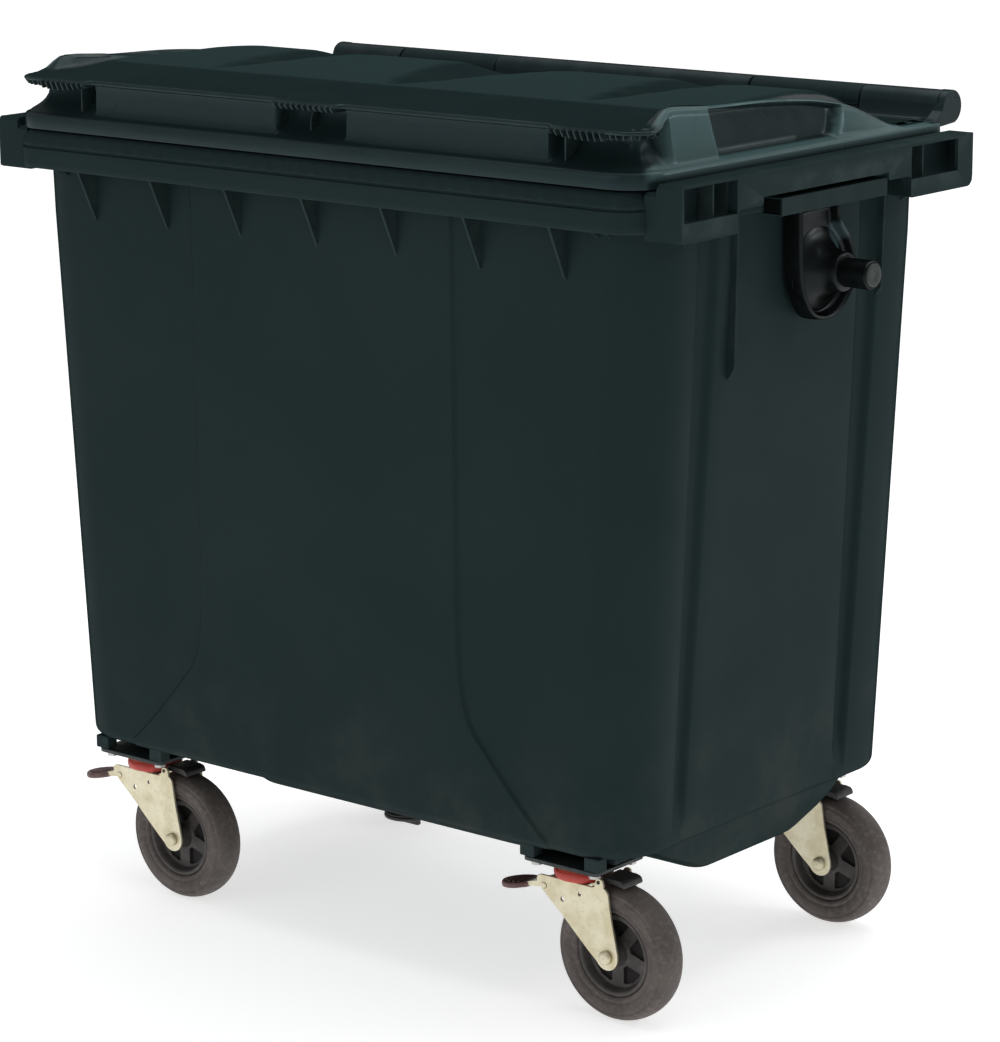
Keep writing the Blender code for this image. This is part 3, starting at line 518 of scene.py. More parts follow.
def rubber(name):
    """Dusty, scuffed brown-grey tyre rubber."""
    sh = Shader(name)
    sh.blotches(base=(0.080, 0.066, 0.060), light=(0.122, 0.103, 0.094),
                between=(0.35, 0.7), scale=20, detail=4, rough=0.6)
    dust = sh.patches(between=(0.45, 0.72), scale=120, detail=5, rough=0.7)
    sh.cover(dust, amount=0.45, over=rgb(0.215, 0.186, 0.170))
    scuffs = sh.patches(between=(0.60, 0.68), scale=34, detail=5, rough=0.75,
                        space=sh.space(scale=(1, 1, 1)), distortion=0.6)
    sh.cover(scuffs, amount=0.25, over=rgb(0.035, 0.029, 0.027))
    sh.put("Roughness", sh.gloss(0.55, 0.80, scale=40, detail=4))
    sh.put("Specular IOR Level", 0.4)
    sh.bumps(RUBBER_GRAIN)
    return sh.done()


def pale_paper(name, level):
    """Matt white that also glows a little."""
    sh = Shader(name)
    colour = (level, level, level)
    sh.colour = sh.mix(sh.patches(between=(0.3, 0.7), scale=1.2), rgb(*colour),
                       tint(colour, gain=0.985))
    sh.put("Roughness", 0.9)
    sh.put("Specular IOR Level", 0.1)
    sh.put("Emission Color", rgb(1, 1, 1))
    sh.put("Emission Strength", 0.62)
    return sh.done()


GREEN = plastic("bin_green", base=(0.0158, 0.0278, 0.0284), light=(0.0184, 0.0310, 0.0317),
                spec=0.03)
# lid plastic; cheeks turns on its painted highlights on the raised panels and on the cheeks' outer
# flanks
GREEN_LID = plastic("lid_green", base=(0.0120, 0.0220, 0.0226), light=(0.0146, 0.0254, 0.0260),
                    rough=0.30, spec=0.22, cheeks=0.75)
# hinge barrels: a darker copy of the lid's plastic, as painted shade
GREEN_BAR_SHADED = plastic("bar_green_shaded", base=(0.0080, 0.0150, 0.0155), light=(0.0098, 0.0176, 0.0182),
                    rough=0.46, spec=0.25)
YELLOW_ZINC = metal("yellow_zinc", base=(0.80, 0.75, 0.57), alt=(0.66, 0.59, 0.40),
                    rough=0.36, metallic=0.75)
ZINC = metal("zinc", base=(0.62, 0.61, 0.58), alt=(0.48, 0.47, 0.44), rough=0.34, metallic=0.9)
BLACK_STEEL = enamel("black_steel")
PLATE = coated("dark_plate", base=(0.012, 0.019, 0.019), light=(0.020, 0.030, 0.030),
               rough=0.42, metallic=0.2, dust=0.25)
CAP_GREY = coated("grey_cap", base=(0.036, 0.044, 0.041), light=(0.050, 0.059, 0.054),
                  rough=0.55, dust=0.12, spec=0.25)
BLACK = coated("black_plastic", base=(0.010, 0.0095, 0.0095), light=(0.016, 0.015, 0.015),
               rough=0.5, dust=0.35)
HUB = coated("hub_grey", base=(0.040, 0.034, 0.033), light=(0.066, 0.057, 0.054),
             rough=0.5, dust=0.5)
# hub web: moulded with the hub, coloured near-black as painted shade in the hub's windows
WEB_SHADE = coated("hub_web_black", base=(0.0060, 0.0048, 0.0046), light=(0.010, 0.0084, 0.0080),
             rough=0.6, dust=0.1, spec=0.2)
RED = coated("red_ring", base=(0.42, 0.022, 0.016), light=(0.50, 0.05, 0.035),
             rough=0.42, dust=0.25)
ROSE = coated("pedal_rose", base=(0.105, 0.050, 0.048), light=(0.20, 0.105, 0.098),
              rough=0.5, dust=0.55)
RUBBER = rubber("tyre_rubber")
SEAL = coated("seal_rubber", base=(0.012, 0.012, 0.012), light=(0.02, 0.02, 0.02),
              rough=0.7, dust=0.4)

# ===================================================================== the tub
# z, half length, front and rear distance from the origin
WALL = [(240, 531, 316, 341), (1040, 576, 320, 343), (1165, 578, 322, 345)]
# z, half width of the raised panel on the front and rear walls
PANEL = [(240, 408), (262, 384), (300, 345), (330, 317), (360, 290), (395, 262), (430, 250),
         (480, 243), (560, 241), (1165, 240)]
PANEL_RAISE = 4.2
SIDE_RECESS = -2.0      # side wall between its two valleys
TUB_CORNER = 85.0
TUB_FOOT = 14           # radius where the walls meet the floor
TUB_LEVELS = [262, 270, 279, 288, 298, 309, 320, 331, 342, 353, 364, 375, 386, 397, 408, 420, 433,
              447, 462, 480, 500, 525, 555, 590, 630, 680, 740, 800, 860, 920, 980, 1040, 1100,
              1160]
CAVITY_LEVELS = [275, 298, 331, 364, 397, 433, 480, 555, 680, 860, 1040, 1160]
TUB_WALL = 6.0
# belly under the floor: z, half width in the middle, half width at the ends, half length
BELLY = [(247, 236, 232, 524), (238, 230, 222, 524), (226, 214, 205, 523), (212, 204, 176, 521),
         (200, 195, 147, 518), (191, 192, 128, 515), (185.5, 189, 118, 511),
         (182, 184, 112, 506), (180.2, 178, 104, 498)]
BELLY_CAVITY = [(262, 226, 220, 500), (228, 206, 196, 500), (206, 188, 142, 498),
                (190, 178, 108, 492), (186.5, 168, 98, 484)]


def wall_at(z):
    low, high = WALL[:2] if z <= WALL[1][0] else WALL[1:]
    t = (z - low[0]) / (high[0] - low[0])
    return [lerp(a, b, t) for a, b in zip(low[1:], high[1:])]


def tub_outline(z, inset=0.0, place_z=None, valley=11.0):
    """Plan of the wall at z, drawn at place_z; valley is the side valleys' depth."""
    half_x, front, rear = (size - inset for size in wall_at(z))
    panel_x = curve(PANEL, z)
    radius = max(TUB_CORNER - inset, 20)
    # long walls: (x, offset outwards) from the middle to the corner
    half = [(x, PANEL_RAISE)
            for x in [0.0] + span(0, panel_x - 3, 9) + [panel_x - 3, panel_x - 1.5]]
    half += [(panel_x + 8 * (k / 8), PANEL_RAISE * (1 - smooth(0, 1, k / 8))) for k in range(9)]
    half += [(panel_x + 9.5, 0), (panel_x + 11, 0)]
    half += [(x, 0.0) for x in span(panel_x + 11, half_x - radius, 9)]
    run = [(-x, out) for x, out in half[:0:-1]] + half
    # ends: (y, offset outwards) with a valley either side of the middle
    t = (z - 240) / 840.0
    depth = valley * smooth(244, 330, z)
    outer, floor_outer = lerp(209, 217, t), lerp(200, 203, t)
    floor_inner, inner = lerp(189, 181, t), lerp(177, 161, t)
    side = [(-lerp(outer, floor_outer, k / 6), -depth * smooth(0, 1, k / 6)) for k in range(7)]
    side.append((-(floor_outer + floor_inner) / 2, -depth))
    side += [(-lerp(floor_inner, inner, k / 6), lerp(-depth, SIDE_RECESS, smooth(0, 1, k / 6)))
             for k in range(7)]
    middle = [(y, SIDE_RECESS) for y in span(-inner + 2, inner - 2, 14)]
    side = side + middle + [(-y, out) for y, out in side[::-1]]

    def corner(x, y, start):
        return arc(x, y, radius, [start + 90 * k / 16 for k in range(17)])
    points = [(x, -front - out) for x, out in run]
    points += corner(half_x - radius, -front + radius, -90)
    points += [(half_x + out, y) for y, out in side]
    points += corner(half_x - radius, rear - radius, 0)
    points += [(x, rear + out * 0.6) for x, out in run[::-1]]
    points += corner(-half_x + radius, rear - radius, 90)
    points += [(-half_x - out, -y) for y, out in side]
    points += corner(-half_x + radius, -front + radius, 180)
    return [(x, y, z if place_z is None else place_z) for x, y in points]


def belly_outline(z, middle, end, half_x):
    """Plan of the belly: wide in the middle, waisted past the castors."""
    keys = [(-half_x, -end), (-330, -end), (-256, -middle), (256, -middle), (330, -end),
            (half_x, -end), (half_x, end), (330, end), (256, middle), (-256, middle),
            (-330, end), (-half_x, end)]
    points = []
    for i, key in enumerate(keys):
        before, here, after = Vector(keys[i - 1]), Vector(key), Vector(keys[(i + 1) % len(keys)])
        back, ahead = before - here, after - here
        reach = min(26, back.length * 0.45, ahead.length * 0.45)
        start, end_point = here + back.normalized() * reach, here + ahead.normalized() * reach
        for k in range(6):
            t = k / 5
            point = start * (1 - t) ** 2 + here * 2 * t * (1 - t) + end_point * t * t
            points.append((point.x, point.y, z))
    return points


def build_tub():
    rows = []
    for k in range(7):
        angle = math.pi / 2 * k / 6
        rows.append(tub_outline(254, TUB_FOOT * (1 - math.sin(angle)),
                                place_z=240 + TUB_FOOT * (1 - math.cos(angle)), valley=0.5))
    rows += [tub_outline(z) for z in TUB_LEVELS]
    cavity = [tub_outline(256, 22, place_z=246.5, valley=1),
              tub_outline(258, 13, place_z=248.5, valley=1),
              tub_outline(264, 7, place_z=254, valley=1)]
    cavity += [tub_outline(z, TUB_WALL) for z in CAVITY_LEVELS]
    cavity.append(tub_outline(1160, TUB_WALL, place_z=1240))
    drain_hole = Shape().turn([(0, 170), (27, 170), (27, 200), (0, 200)], 'z', DRAIN, 40)
    bin_part("tub_wall", Shape().loft(rows), "bin_body",
             joins=[Shape().loft([belly_outline(*row) for row in BELLY])],
             cuts=[Shape().loft(cavity),
                   Shape().loft([belly_outline(*row) for row in BELLY_CAVITY]), drain_hole],
             sharp=38)


build_tub()

# ------------------------------------------------------------------- rim band
# closed section: inset from the outline, z
RIM = [(5.2, 1110.8), (3.0, 1110.2), (0.9, 1110.6), (0.0, 1112.2), (0.0, 1120), (0.0, 1130),
       (0.0, 1137.6), (0.5, 1139.2), (2.2, 1139.9), (3.2, 1140.6), (3.2, 1142.4), (2.2, 1143.2),
       (0.9, 1143.8), (0.7, 1144.8), (2.4, 1147.8), (4.6, 1151.4), (6.8, 1155.0), (8.8, 1158.4),
       (10.3, 1161.0), (11.6, 1163.0), (13.4, 1164.4), (16.0, 1165.0), (30, 1165.0), (43, 1165.0),
       (43, 1160.0), (22, 1160.0), (14.5, 1158), (8.5, 1148), (5.6, 1142), (5.2, 1130)]
RIM_X, RIM_FRONT, RIM_REAR = 578, 358.6, 361
FLUTE_PITCH = 31.0
FLUTE_RAISE = 1.9


def rim_outline(inset):
    """Rounded rectangle from the front left corner, with fixed counts of steps."""
    half_x, front, rear = RIM_X - inset, RIM_FRONT - inset, RIM_REAR - inset
    front_radius, rear_radius = max(46 - inset, 5), max(30 - inset, 4)

    def corner(x, y, radius, start):
        return arc(x, y, radius, [start + 90 * k / 12 for k in range(13)])

    def side(start, end, steps):
        return [(lerp(start[0], end[0], i / steps), lerp(start[1], end[1], i / steps))
                for i in range(1, steps)]
    corners = [corner(-half_x + front_radius, -front + front_radius, front_radius, 180),
               corner(half_x - front_radius, -front + front_radius, front_radius, 270),
               corner(half_x - rear_radius, rear - rear_radius, rear_radius, 0),
               corner(-half_x + rear_radius, rear - rear_radius, rear_radius, 90)]
    out = []
    for i, steps in enumerate((289, 60, 120, 60)):
        out += corners[i] + side(corners[i][-1], corners[(i + 1) % 4][0], steps)
    return out


def build_rim():
    """Band round the top of the tub, with soft flutes along the front slope."""
    rows = []
    for inset, z in RIM:
        raised = smooth(1144.5, 1149, z) * (1 - smooth(1157.5, 1162, z)) if inset < 12 else 0.0
        row = []
        for x, y in rim_outline(inset):
            if raised > 0 and y < -318:
                # distance along the front, stretched round the corners
                run = x if abs(x) < 535 else math.copysign(535 + 1.3 * (abs(x) - 535), x)
                wave = math.cos(2 * math.pi * (run + 8) / FLUTE_PITCH)
                out = raised * FLUTE_RAISE * smooth(-0.15, 0.55, wave)
                sideways = (x / 578.0) ** 9
                length = math.hypot(sideways, 1.0)
                x, y = x + out * sideways / length, y - out / length
            row.append((x, y, z))
        rows.append(row)
    bin_part("rim_band", Shape().loft(rows, around=True), sharp=50)


build_rim()

# ----------------------------------------------------------------- side beams
BEAM_TOP = 1176.5
BEAM_ROOF = BEAM_TOP - 6            # underside of the beam's top
BEAM_UNDER = [(-327, 1104), (-322, 1101.5), (-206, 1101.5), (-203, 1104), (-203, 1129),
              (-199, 1132), (-151, 1132), (-147, 1136), (-147, 1143), (147, 1143), (147, 1136),
              (151, 1132), (199, 1132), (203, 1129), (203, 1104), (206, 1101.5), (348, 1101.5),
              (354, 1103.5), (359, 1109), (360, 1118)]     # y, z from front to rear
BEAM_STATIONS = ((572, 1165), (591.5, 1165), (592.5, BEAM_TOP), (625, BEAM_TOP),
                 (632.5, BEAM_TOP))                        # x, top z


def build_beam(tag, side):
    rows = []
    for x, top in BEAM_STATIONS:
        section = BEAM_UNDER + [(360, top), (-322, top), (-327, top - 5)]
        rows.append([(side * x, y, z) for y, z in section])
    hollow = Shape()
    for y0, y1 in ((-321.5, -209), (-204, 204), (209, 354)):
        hollow.box(side * 597.5, side * 627, y0, y1, 1085, BEAM_ROOF)
    windows = Shape().box(side * 618, side * 640, -321.5, -206, 1128, 1172.3)
    windows.box(side * 618, side * 640, 203.5, 321, 1127, 1172.3)
    bin_part("side_beam_" + tag, Shape().loft(rows), cuts=[hollow, windows],
             bevel=1.7, segments=3, angle=28)
    # a thin partition inside each window
    partitions = Shape()
    for y0, y1 in ((-246, -242.5), (246, 249.5)):
        partitions.box(side * 598, side * 622, y0, y1, 1106, BEAM_ROOF)
    bin_part("beam_partition_" + tag, partitions, bevel=0.6, segments=1)


for tag, side in SIDES:
    build_beam(tag, side)


# ----------------------------------------------------------- gussets and ribs
def build_gussets():
    """Webs under the rim band along the front and rear walls."""
    front = [(-357, 1111.5), (-353.5, 1116), (-353.5, 1124), (-318, 1124), (-318, 1037),
             (-321.5, 1037), (-324.5, 1041)]
    rear = [(359.5, 1112), (356, 1116), (356, 1124), (340, 1124), (340, 1057), (343.5, 1057),
            (346.5, 1061)]
    shape = Shape()
    for k in range(-3, 4):
        x = k * 146.0
        shape.prism(front, 'x', x - 2.2, x + 2.2)
        if abs(k) != 2:
            shape.prism(rear, 'x', x - 2.2, x + 2.2)
    for x, low in ((-493, 1098), (-510, 1101), (493, 1098), (510, 1101)):
        shape.prism([(-350, 1113), (-350, 1120), (-316, 1120), (-316, low - 6), (-322, low)],
                    'x', x - 1.6, x + 1.6)
    bin_part("rim_gussets", shape, bevel=0.9)


def build_side_ribs():
    shape = Shape()
    for side in (-1, 1):
        ribs = (([(560, 888), (569, 891), (578.5, 905), (583, 1100), (583, 1150), (560, 1150)],
                 -136, -130.5),
                ([(560, 955), (571, 958), (579.5, 970), (583, 1100), (583, 1150), (560, 1150)],
                 211.5, 216.5))
        web = [(548, 1068), (556, 1070), (600, 1104), (600, 1120), (548, 1120)]
        for outline, y0, y1 in ribs + ((web, -247, -243), (web, 262, 266)):
            shape.prism([(side * x, z) for x, z in outline], 'y', y0, y1)
    bin_part("side_ribs", shape, bevel=1.2)


def build_castor_pads():
    """Four feet and a cross bar above each castor plate."""
    shape = Shape()
    for x in (-CASTOR_X, CASTOR_X):
        for y in (-CASTOR_Y, CASTOR_Y):
            for i in (-1, 1):
                for j in (-1, 1):
                    shape.box(x + i * 44, x + i * 69, y + j * 36, y + j * 56, 223.6, 243)
            shape.box(x - 69, x + 69, y - 18, y + 18, 226, 243)
    bin_part("castor_pads", shape, bevel=1.6)


build_gussets()
build_side_ribs()
build_castor_pads()

# ===================================================================== the lid
# y, z of the top's crest, and of the two cheeks at its ends
TOP = [(-345, 1243), (-250, 1247), (-187, 1250.3), (-100, 1253.5), (0, 1255.5), (60, 1255),
       (110, 1251.5), (150, 1245), (180, 1233.5), (205, 1217), (228, 1202), (250, 1191),
       (264, 1189), (360, 1189)]
CHEEK = [(-345, 1244), (-297, 1246), (-285, 1252.5), (-270, 1263.5), (-260, 1266), (-200, 1262),
         (-165, 1259.5), (-60, 1256.5), (54, 1247.5), (104, 1240), (148, 1231), (210, 1210),
         (258, 1192), (276, 1189), (360, 1189)]
CHEEK_X = 552                       # inner side of the cheeks
VALLEYS = ((-346, 12.5, 1.0), (0, 19.0, 1.75), (346, 12.5, 1.0))     # x, depth, width factor
VALLEY_WIDTH = [(-192, 2), (-120, 22), (0, 46), (80, 60), (150, 70), (230, 76)]  # y, half width
GUTTER_WIDTH = [(-192, 2), (-100, 16), (60, 34), (180, 44)]                      # y, width
GUTTER_DEPTH = 8.0
LID_X, LID_FRONT, LID_REAR = 586.0, 351.0, 352.0
LID_REAR_RADIUS = 8.0
LID_CORNER_X, LID_CORNER_Y = 526, -291      # centre of the front corners
FRONT_TOP = 1243.8
REAR_TOP = 1189.0
HALF_CORNER = 10                    # steps on half a front corner
# the lid's edge from the bottom up: inset and z at the front, inset on the ends,
# depth of the pockets in the riser, and forward bow of the handle lips above them
LID_EDGE = [
    (1.6, 1167.0, 1.6, 0, 0), (0.4, 1167.4, 0.4, 0, 0), (0.0, 1168.8, 0.0, 0, 0),
    (0.0, 1176.0, 0.0, 0, 0), (0.3, 1183.5, 0.3, 0, 0), (1.2, 1186.6, 1.0, 0, 0),
    (3.2, 1188.4, 2.8, 0, 0), (7.5, 1189.8, 6.2, 0, 0), (12.5, 1191.2, 8.8, 0, 0),
    (15.6, 1192.6, 10.4, 0, 0), (17.2, 1194.2, 11.4, 1.0, 0), (18.2, 1197.4, 12.0, 6, 0),
    (18.6, 1202.0, 12.8, 13, 0), (18.9, 1208.0, 14.0, 20, 0), (19.1, 1215.0, 15.6, 25, 0),
    (19.3, 1224.0, 17.4, 27, 0), (19.4, 1231.5, 19.0, 27, 0), (19.0, 1234.8, 19.8, 25.5, 0),
    (17.6, 1235.8, 20.2, 20, 0), (16.2, 1236.2, 20.6, 0, 11), (15.3, 1237.2, 21.0, 0, 15.5),
    (15.1, 1239.4, 21.4, 0, 16.5), (15.6, 1241.4, 22.0, 0, 15.5), (17.6, 1243.0, 23.4, 0, 11),
    (21.5, 1243.6, 26.0, 0, 4)]
RISER = 9                           # row of LID_EDGE where the riser starts
RISER_Z = LID_EDGE[RISER][1]


def lid_dip(x, y):
    """Depth below the crest: leaf shaped valleys, and a gutter along each cheek."""
    dip = 0.0
    for middle, deepest, width in VALLEYS:
        depth = deepest * smooth(-196, -10, y) * (1 - 0.42 * smooth(60, 160, y) * (middle != 0))
        off = abs(x - middle) / (width * curve(VALLEY_WIDTH, y))
        if off < 1:
            fall = 1 - math.sqrt(off * off + 0.012) / 1.006
            dip = max(dip, depth * min(1.0, 1.10 * fall))
    inside = CHEEK_X - abs(x)
    width = curve(GUTTER_WIDTH, y)
    depth = GUTTER_DEPTH * smooth(-192, -20, y)
    if 0 < inside < width:
        dip = max(dip, depth * (1 - inside / width))
    if inside <= 0:
        dip = max(dip, depth * (1 - smooth(0, 6, -inside)))
    return dip * (1 - smooth(160, 232, y))


def lid_top(x, y):
    crest = lerp(curve(TOP, y), curve(CHEEK, y), smooth(532, 556, abs(x)))
    return crest - lid_dip(x, y)


def stations(first, last, count, centres, offsets, gap):
    """Even stations, with more around the centres, thinned to a least gap."""
    values = set(round(float(v), 1) for v in np.linspace(first, last, count))
    values.update(float(c + d) for c in centres for d in offsets)
    kept = []
    for value in sorted(values):
        if not kept or value - kept[-1] >= gap:
            kept.append(value)
    return kept


LID_XS = stations(-520, 520, 81, centres=(-423, -63, 63, 423),
                  offsets=(-9, -6, -4, -2, 0, 2, 4, 6, 9), gap=1.9)
LID_YS = stations(-288, 336, 58, centres=(-181, -168, 100, 134),
                  offsets=(-5, -2.5, 0, 2.5, 5), gap=2.0)
COLUMNS = len(LID_XS) + 2 * HALF_CORNER
ROWS = len(LID_YS) + HALF_CORNER + 3


def lid_border(radius):
    """Outline of the lid: (side, x, y) anticlockwise from the front left corner."""
    rear_x = LID_X - LID_REAR_RADIUS

    def front_corner(side, degrees):
        (x, y), = arc(LID_X - radius, -LID_FRONT + radius, radius, [degrees])
        return side * x, y

    def rear_corner(side, degrees):
        (x, y), = arc(rear_x, LID_REAR - LID_REAR_RADIUS, LID_REAR_RADIUS, [degrees])
        return side * x, y

    def front(i):
        side, k = (-1, i) if i < HALF_CORNER else (1, COLUMNS - 1 - i)
        if k < HALF_CORNER:
            return front_corner(side, 315 - 45 * k / HALF_CORNER)
        return LID_XS[i - HALF_CORNER], -LID_FRONT

    def end(j, side):
        if j < HALF_CORNER:
            return front_corner(side, 45 * j / HALF_CORNER - 45)
        if j >= ROWS - 3:
            return rear_corner(side, (45, 30, 15)[ROWS - 1 - j])
        return side * LID_X, LID_YS[j - HALF_CORNER]

    def rear(i):
        steps = HALF_CORNER - 2
        if i < 2:
            return rear_corner(-1, 45 + (0, 22)[i])
        if i > COLUMNS - 3:
            return rear_corner(1, 45 + (0, 22)[COLUMNS - 1 - i])
        if i < HALF_CORNER:
            return -lerp(rear_x, -LID_XS[0], (i - 2) / steps), LID_REAR
        if i >= COLUMNS - HALF_CORNER:
            first = COLUMNS - HALF_CORNER - 1
            return lerp(LID_XS[-1], rear_x, (i - first) / steps), LID_REAR
        return LID_XS[i - HALF_CORNER], LID_REAR

    out = [('front', *front(i)) for i in range(COLUMNS)]
    out += [('end', *end(j, 1)) for j in range(1, ROWS)]
    out += [('rear', *rear(i)) for i in range(COLUMNS - 2, -1, -1)]
    out += [('end', *end(j, -1)) for j in range(ROWS - 2, 0, -1)]
    return out


def lid_edge_point(k, side, x, y):
    """Place one border point at row k of LID_EDGE."""
    front_inset, z, end_inset, pocket, ear = LID_EDGE[k]
    across = abs(x)
    end_share, top = 0.0, FRONT_TOP
    if side == 'end':
        end_share = smooth(-322, -296, y)
        top = lerp(FRONT_TOP, curve(CHEEK, y), smooth(-300, -290, y))
    elif side == 'rear':
        end_share = smooth(540, 575, across)
        top = REAR_TOP
    inset = lerp(front_inset, end_inset, end_share)
    # outward direction, radial in the front corners
    if side == 'rear':
        out_x, out_y = (math.copysign(1, x) if across > 560 else 0.0), 0.12
    elif y < LID_CORNER_Y and across > LID_CORNER_X:
        reach = math.hypot(across - LID_CORNER_X, LID_CORNER_Y - y)
        out_x = math.copysign((across - LID_CORNER_X) / reach, x)
        out_y = (y - LID_CORNER_Y) / reach
    elif side == 'front':
        out_x, out_y = 0.0, -1.0
    else:
        out_x, out_y = math.copysign(1.0, x), 0.0
    new_x, new_y = x - out_x * inset, y - out_y * inset
    # pockets in the riser, in the middle and at both corners, and the lips above
    hand = max(smooth(419, 426, across), smooth(66, 60, across)) if y < -262 else 0.0
    if side == 'end':
        hand *= smooth(-266, -278, y)
    if pocket and hand:
        new_x -= out_x * pocket * hand * 0.8
        new_y -= out_y * pocket * hand
        if across > LID_CORNER_X:
            new_x -= math.copysign(2.0, x) * hand * min(1, pocket / 10)
    if ear and hand:
        if across < 66:
            bow = smooth(66, 52, across)
        else:
            bow = smooth(421, 436, across) * smooth(-264, -296, y)
        new_x += out_x * ear * 0.5 * bow
        new_y += out_y * ear * 0.55 * bow
    # heights follow the top
    if k < RISER:
        new_z = min(z, top - (RISER - k) * 0.35)
    else:
        new_z = lerp(min(RISER_Z, top - 0.35), top, (z - RISER_Z) / (FRONT_TOP - RISER_Z))
    # recessed panel on each end
    if side == 'end' and k >= RISER and top > 1200:
        t = (new_z - 1188) / (top - 1188)
        start, end = lerp(-166, -180, t), lerp(102, 134, t)
        depth = smooth(start - 1, start + 7, y) * smooth(end + 2, end - 16, y)
        depth *= smooth(1190, 1197, new_z) * smooth(top - 2.5, top - 6.5, new_z)
        new_x -= math.copysign(12.5 * depth, x)
    return new_x, new_y, new_z


def lid_patch(ring):
    """Grid of the top, stretched between the four sides of the ring."""
    front = ring[:COLUMNS]
    right = ring[COLUMNS - 1:COLUMNS - 1 + ROWS]
    rear = ring[COLUMNS + ROWS - 2:2 * COLUMNS + ROWS - 2][::-1]
    left = [ring[0]] + ring[len(ring) - ROWS + 2:][::-1] + [rear[0]]
    front_y = (front[0][1] + front[-1][1]) / 2
    rear_y = (rear[0][1] + rear[-1][1]) / 2
    grid = []
    for j in range(ROWS):
        line = []
        v = ((right[j][1] + left[j][1]) / 2 - front_y) / (rear_y - front_y)
        for i in range(COLUMNS):
            if j == 0:
                line.append(front[i])
            elif j == ROWS - 1:
                line.append(rear[i])
            elif i == 0:
                line.append(left[j])
            elif i == COLUMNS - 1:
                line.append(right[j])
            else:
                u = (front[i][0] + rear[i][0]) / 2
                u = min(1.0, max(0.0, (u - front[0][0]) / (front[-1][0] - front[0][0])))
                place = []
                for c in (0, 1):
                    ruled = lerp(front[i][c], rear[i][c], v) + lerp(left[j][c], right[j][c], u)
                    corners = lerp(lerp(front[0][c], front[-1][c], u),
                                   lerp(rear[0][c], rear[-1][c], u), v)
                    place.append(ruled - corners)
                line.append((*place, lid_top(*place)))
        grid.append(line)
    return grid


def add_lid_painted_light(mesh):
    """Colour attribute of painted highlights: red lightens the raised panels' tops away from the
    valleys, green the outer flanks of the cheeks.
    """
    values = []
    for vertex in mesh.vertices:
        x, y, z = vertex.co.x * 1000, vertex.co.y * 1000 + CENTRE_Y, vertex.co.z * 1000
        across = abs(x)
        # panel: painted highlight on the raised tops of the lid, fading out into the valleys
        panel = 0.0
        if z > 1196 and across < CHEEK_X and abs(z - lid_top(x, y)) < 5:
            panel = smooth(-186, -168, y) * (1 - smooth(120, 165, y))
            panel *= 1 - min(1.0, lid_dip(x, y) / 3.0)
        # flank: painted highlight on the outer flanks of the cheeks, where side light falls
        line = lerp(574, 563, (z - 1192) / 73)
        flank_highlight = smooth(-7, -3, across - line) * smooth(1180, 1185, z)
        flank_highlight *= smooth(0, 12, y + 296 + 34 * (1 - smooth(1192, 1206, z)))
        values.extend((panel, flank_highlight, 0.0, 1.0))
    mesh.attributes.new("painted_light", 'FLOAT_COLOR', 'POINT').data.foreach_set("color", values)


def build_lid():
    rows = []
    for k, row in enumerate(LID_EDGE):
        radius = 60 - min(row[0], 20) * 0.9
        rows.append([lid_edge_point(k, *point) for point in lid_border(radius)])
    shape = Shape().loft(rows, caps=False)
    shape.loft(lid_patch(rows[-1]), caps=False, ring=False)
    lid = add_object("lid_shell", shape)
    skin = lid.modifiers.new("skin", 'SOLIDIFY')
    skin.thickness = 4.2 * METRES
    skin.offset = -1
    skin.use_even_offset = False
    apply_modifiers(lid)
    smooth_shade(lid, 42)
    add_lid_painted_light(lid.data)
    dress(lid, "lid", "lid_plastic", GREEN_LID, "lid")


def build_handle_webs():
    """Comb of webs under the handle lips, fanned round the corners."""
    pitch = 10.6
    shape = Shape()

    def web(x, low, front):
        shape.prism([(front, 1238.0), (front + 0.6, 1236.0), (front + 5.5, low),
                     (-306.0, low + 1.5), (-306.0, 1238.0)], 'x', x - 1.25, x + 1.25)
    for k in range(11):
        web(-53 + pitch * k, 1230.4, -350.5)
    for side in (-1, 1):
        for k in range(9):
            x = 432 + pitch * k
            web(side * x, 1231.5 - 5.5 * math.sin(math.pi * (x - 432) / 117), -349.8)
    for side in (-1, 1):
        for degrees in range(262, 351, 11):
            angle = math.radians(degrees)
            cosine, sine = math.cos(angle), math.sin(angle)
            lift = 2.6 * smooth(270, 350, degrees)
            outer = 52.5 + 5.5 * math.sin(2 * (angle - math.radians(270)))
            section = ((22, 1238.5), (outer, 1238.5), (outer - 0.6, 1235.6),
                       (outer - 4.5, 1229.2 + lift), (22, 1231 + lift))
            shape.loft([[(side * (LID_CORNER_X + r * cosine - off * sine),
                          LID_CORNER_Y + r * sine + off * cosine, z) for r, z in section]
                        for off in (-1.2, 1.2)])
    lid_part("lid_handle_webs", shape, bevel=0.4, segments=1)


def build_pocket_ribs():
    shape = Shape()
    for side in (-1, 1):
        shape.prism([(-333, 1196), (-312, 1196), (-306, 1215), (-306, 1237), (-333, 1237)],
                    'x', side * 447, side * 449.5)
    shape.prism([(-322, 1196), (-306, 1208), (-304, 1237), (-312, 1237), (-322, 1215)],
                'x', -10, -7.5)
    lid_part("lid_pocket_ribs", shape, bevel=0.5, segments=1)


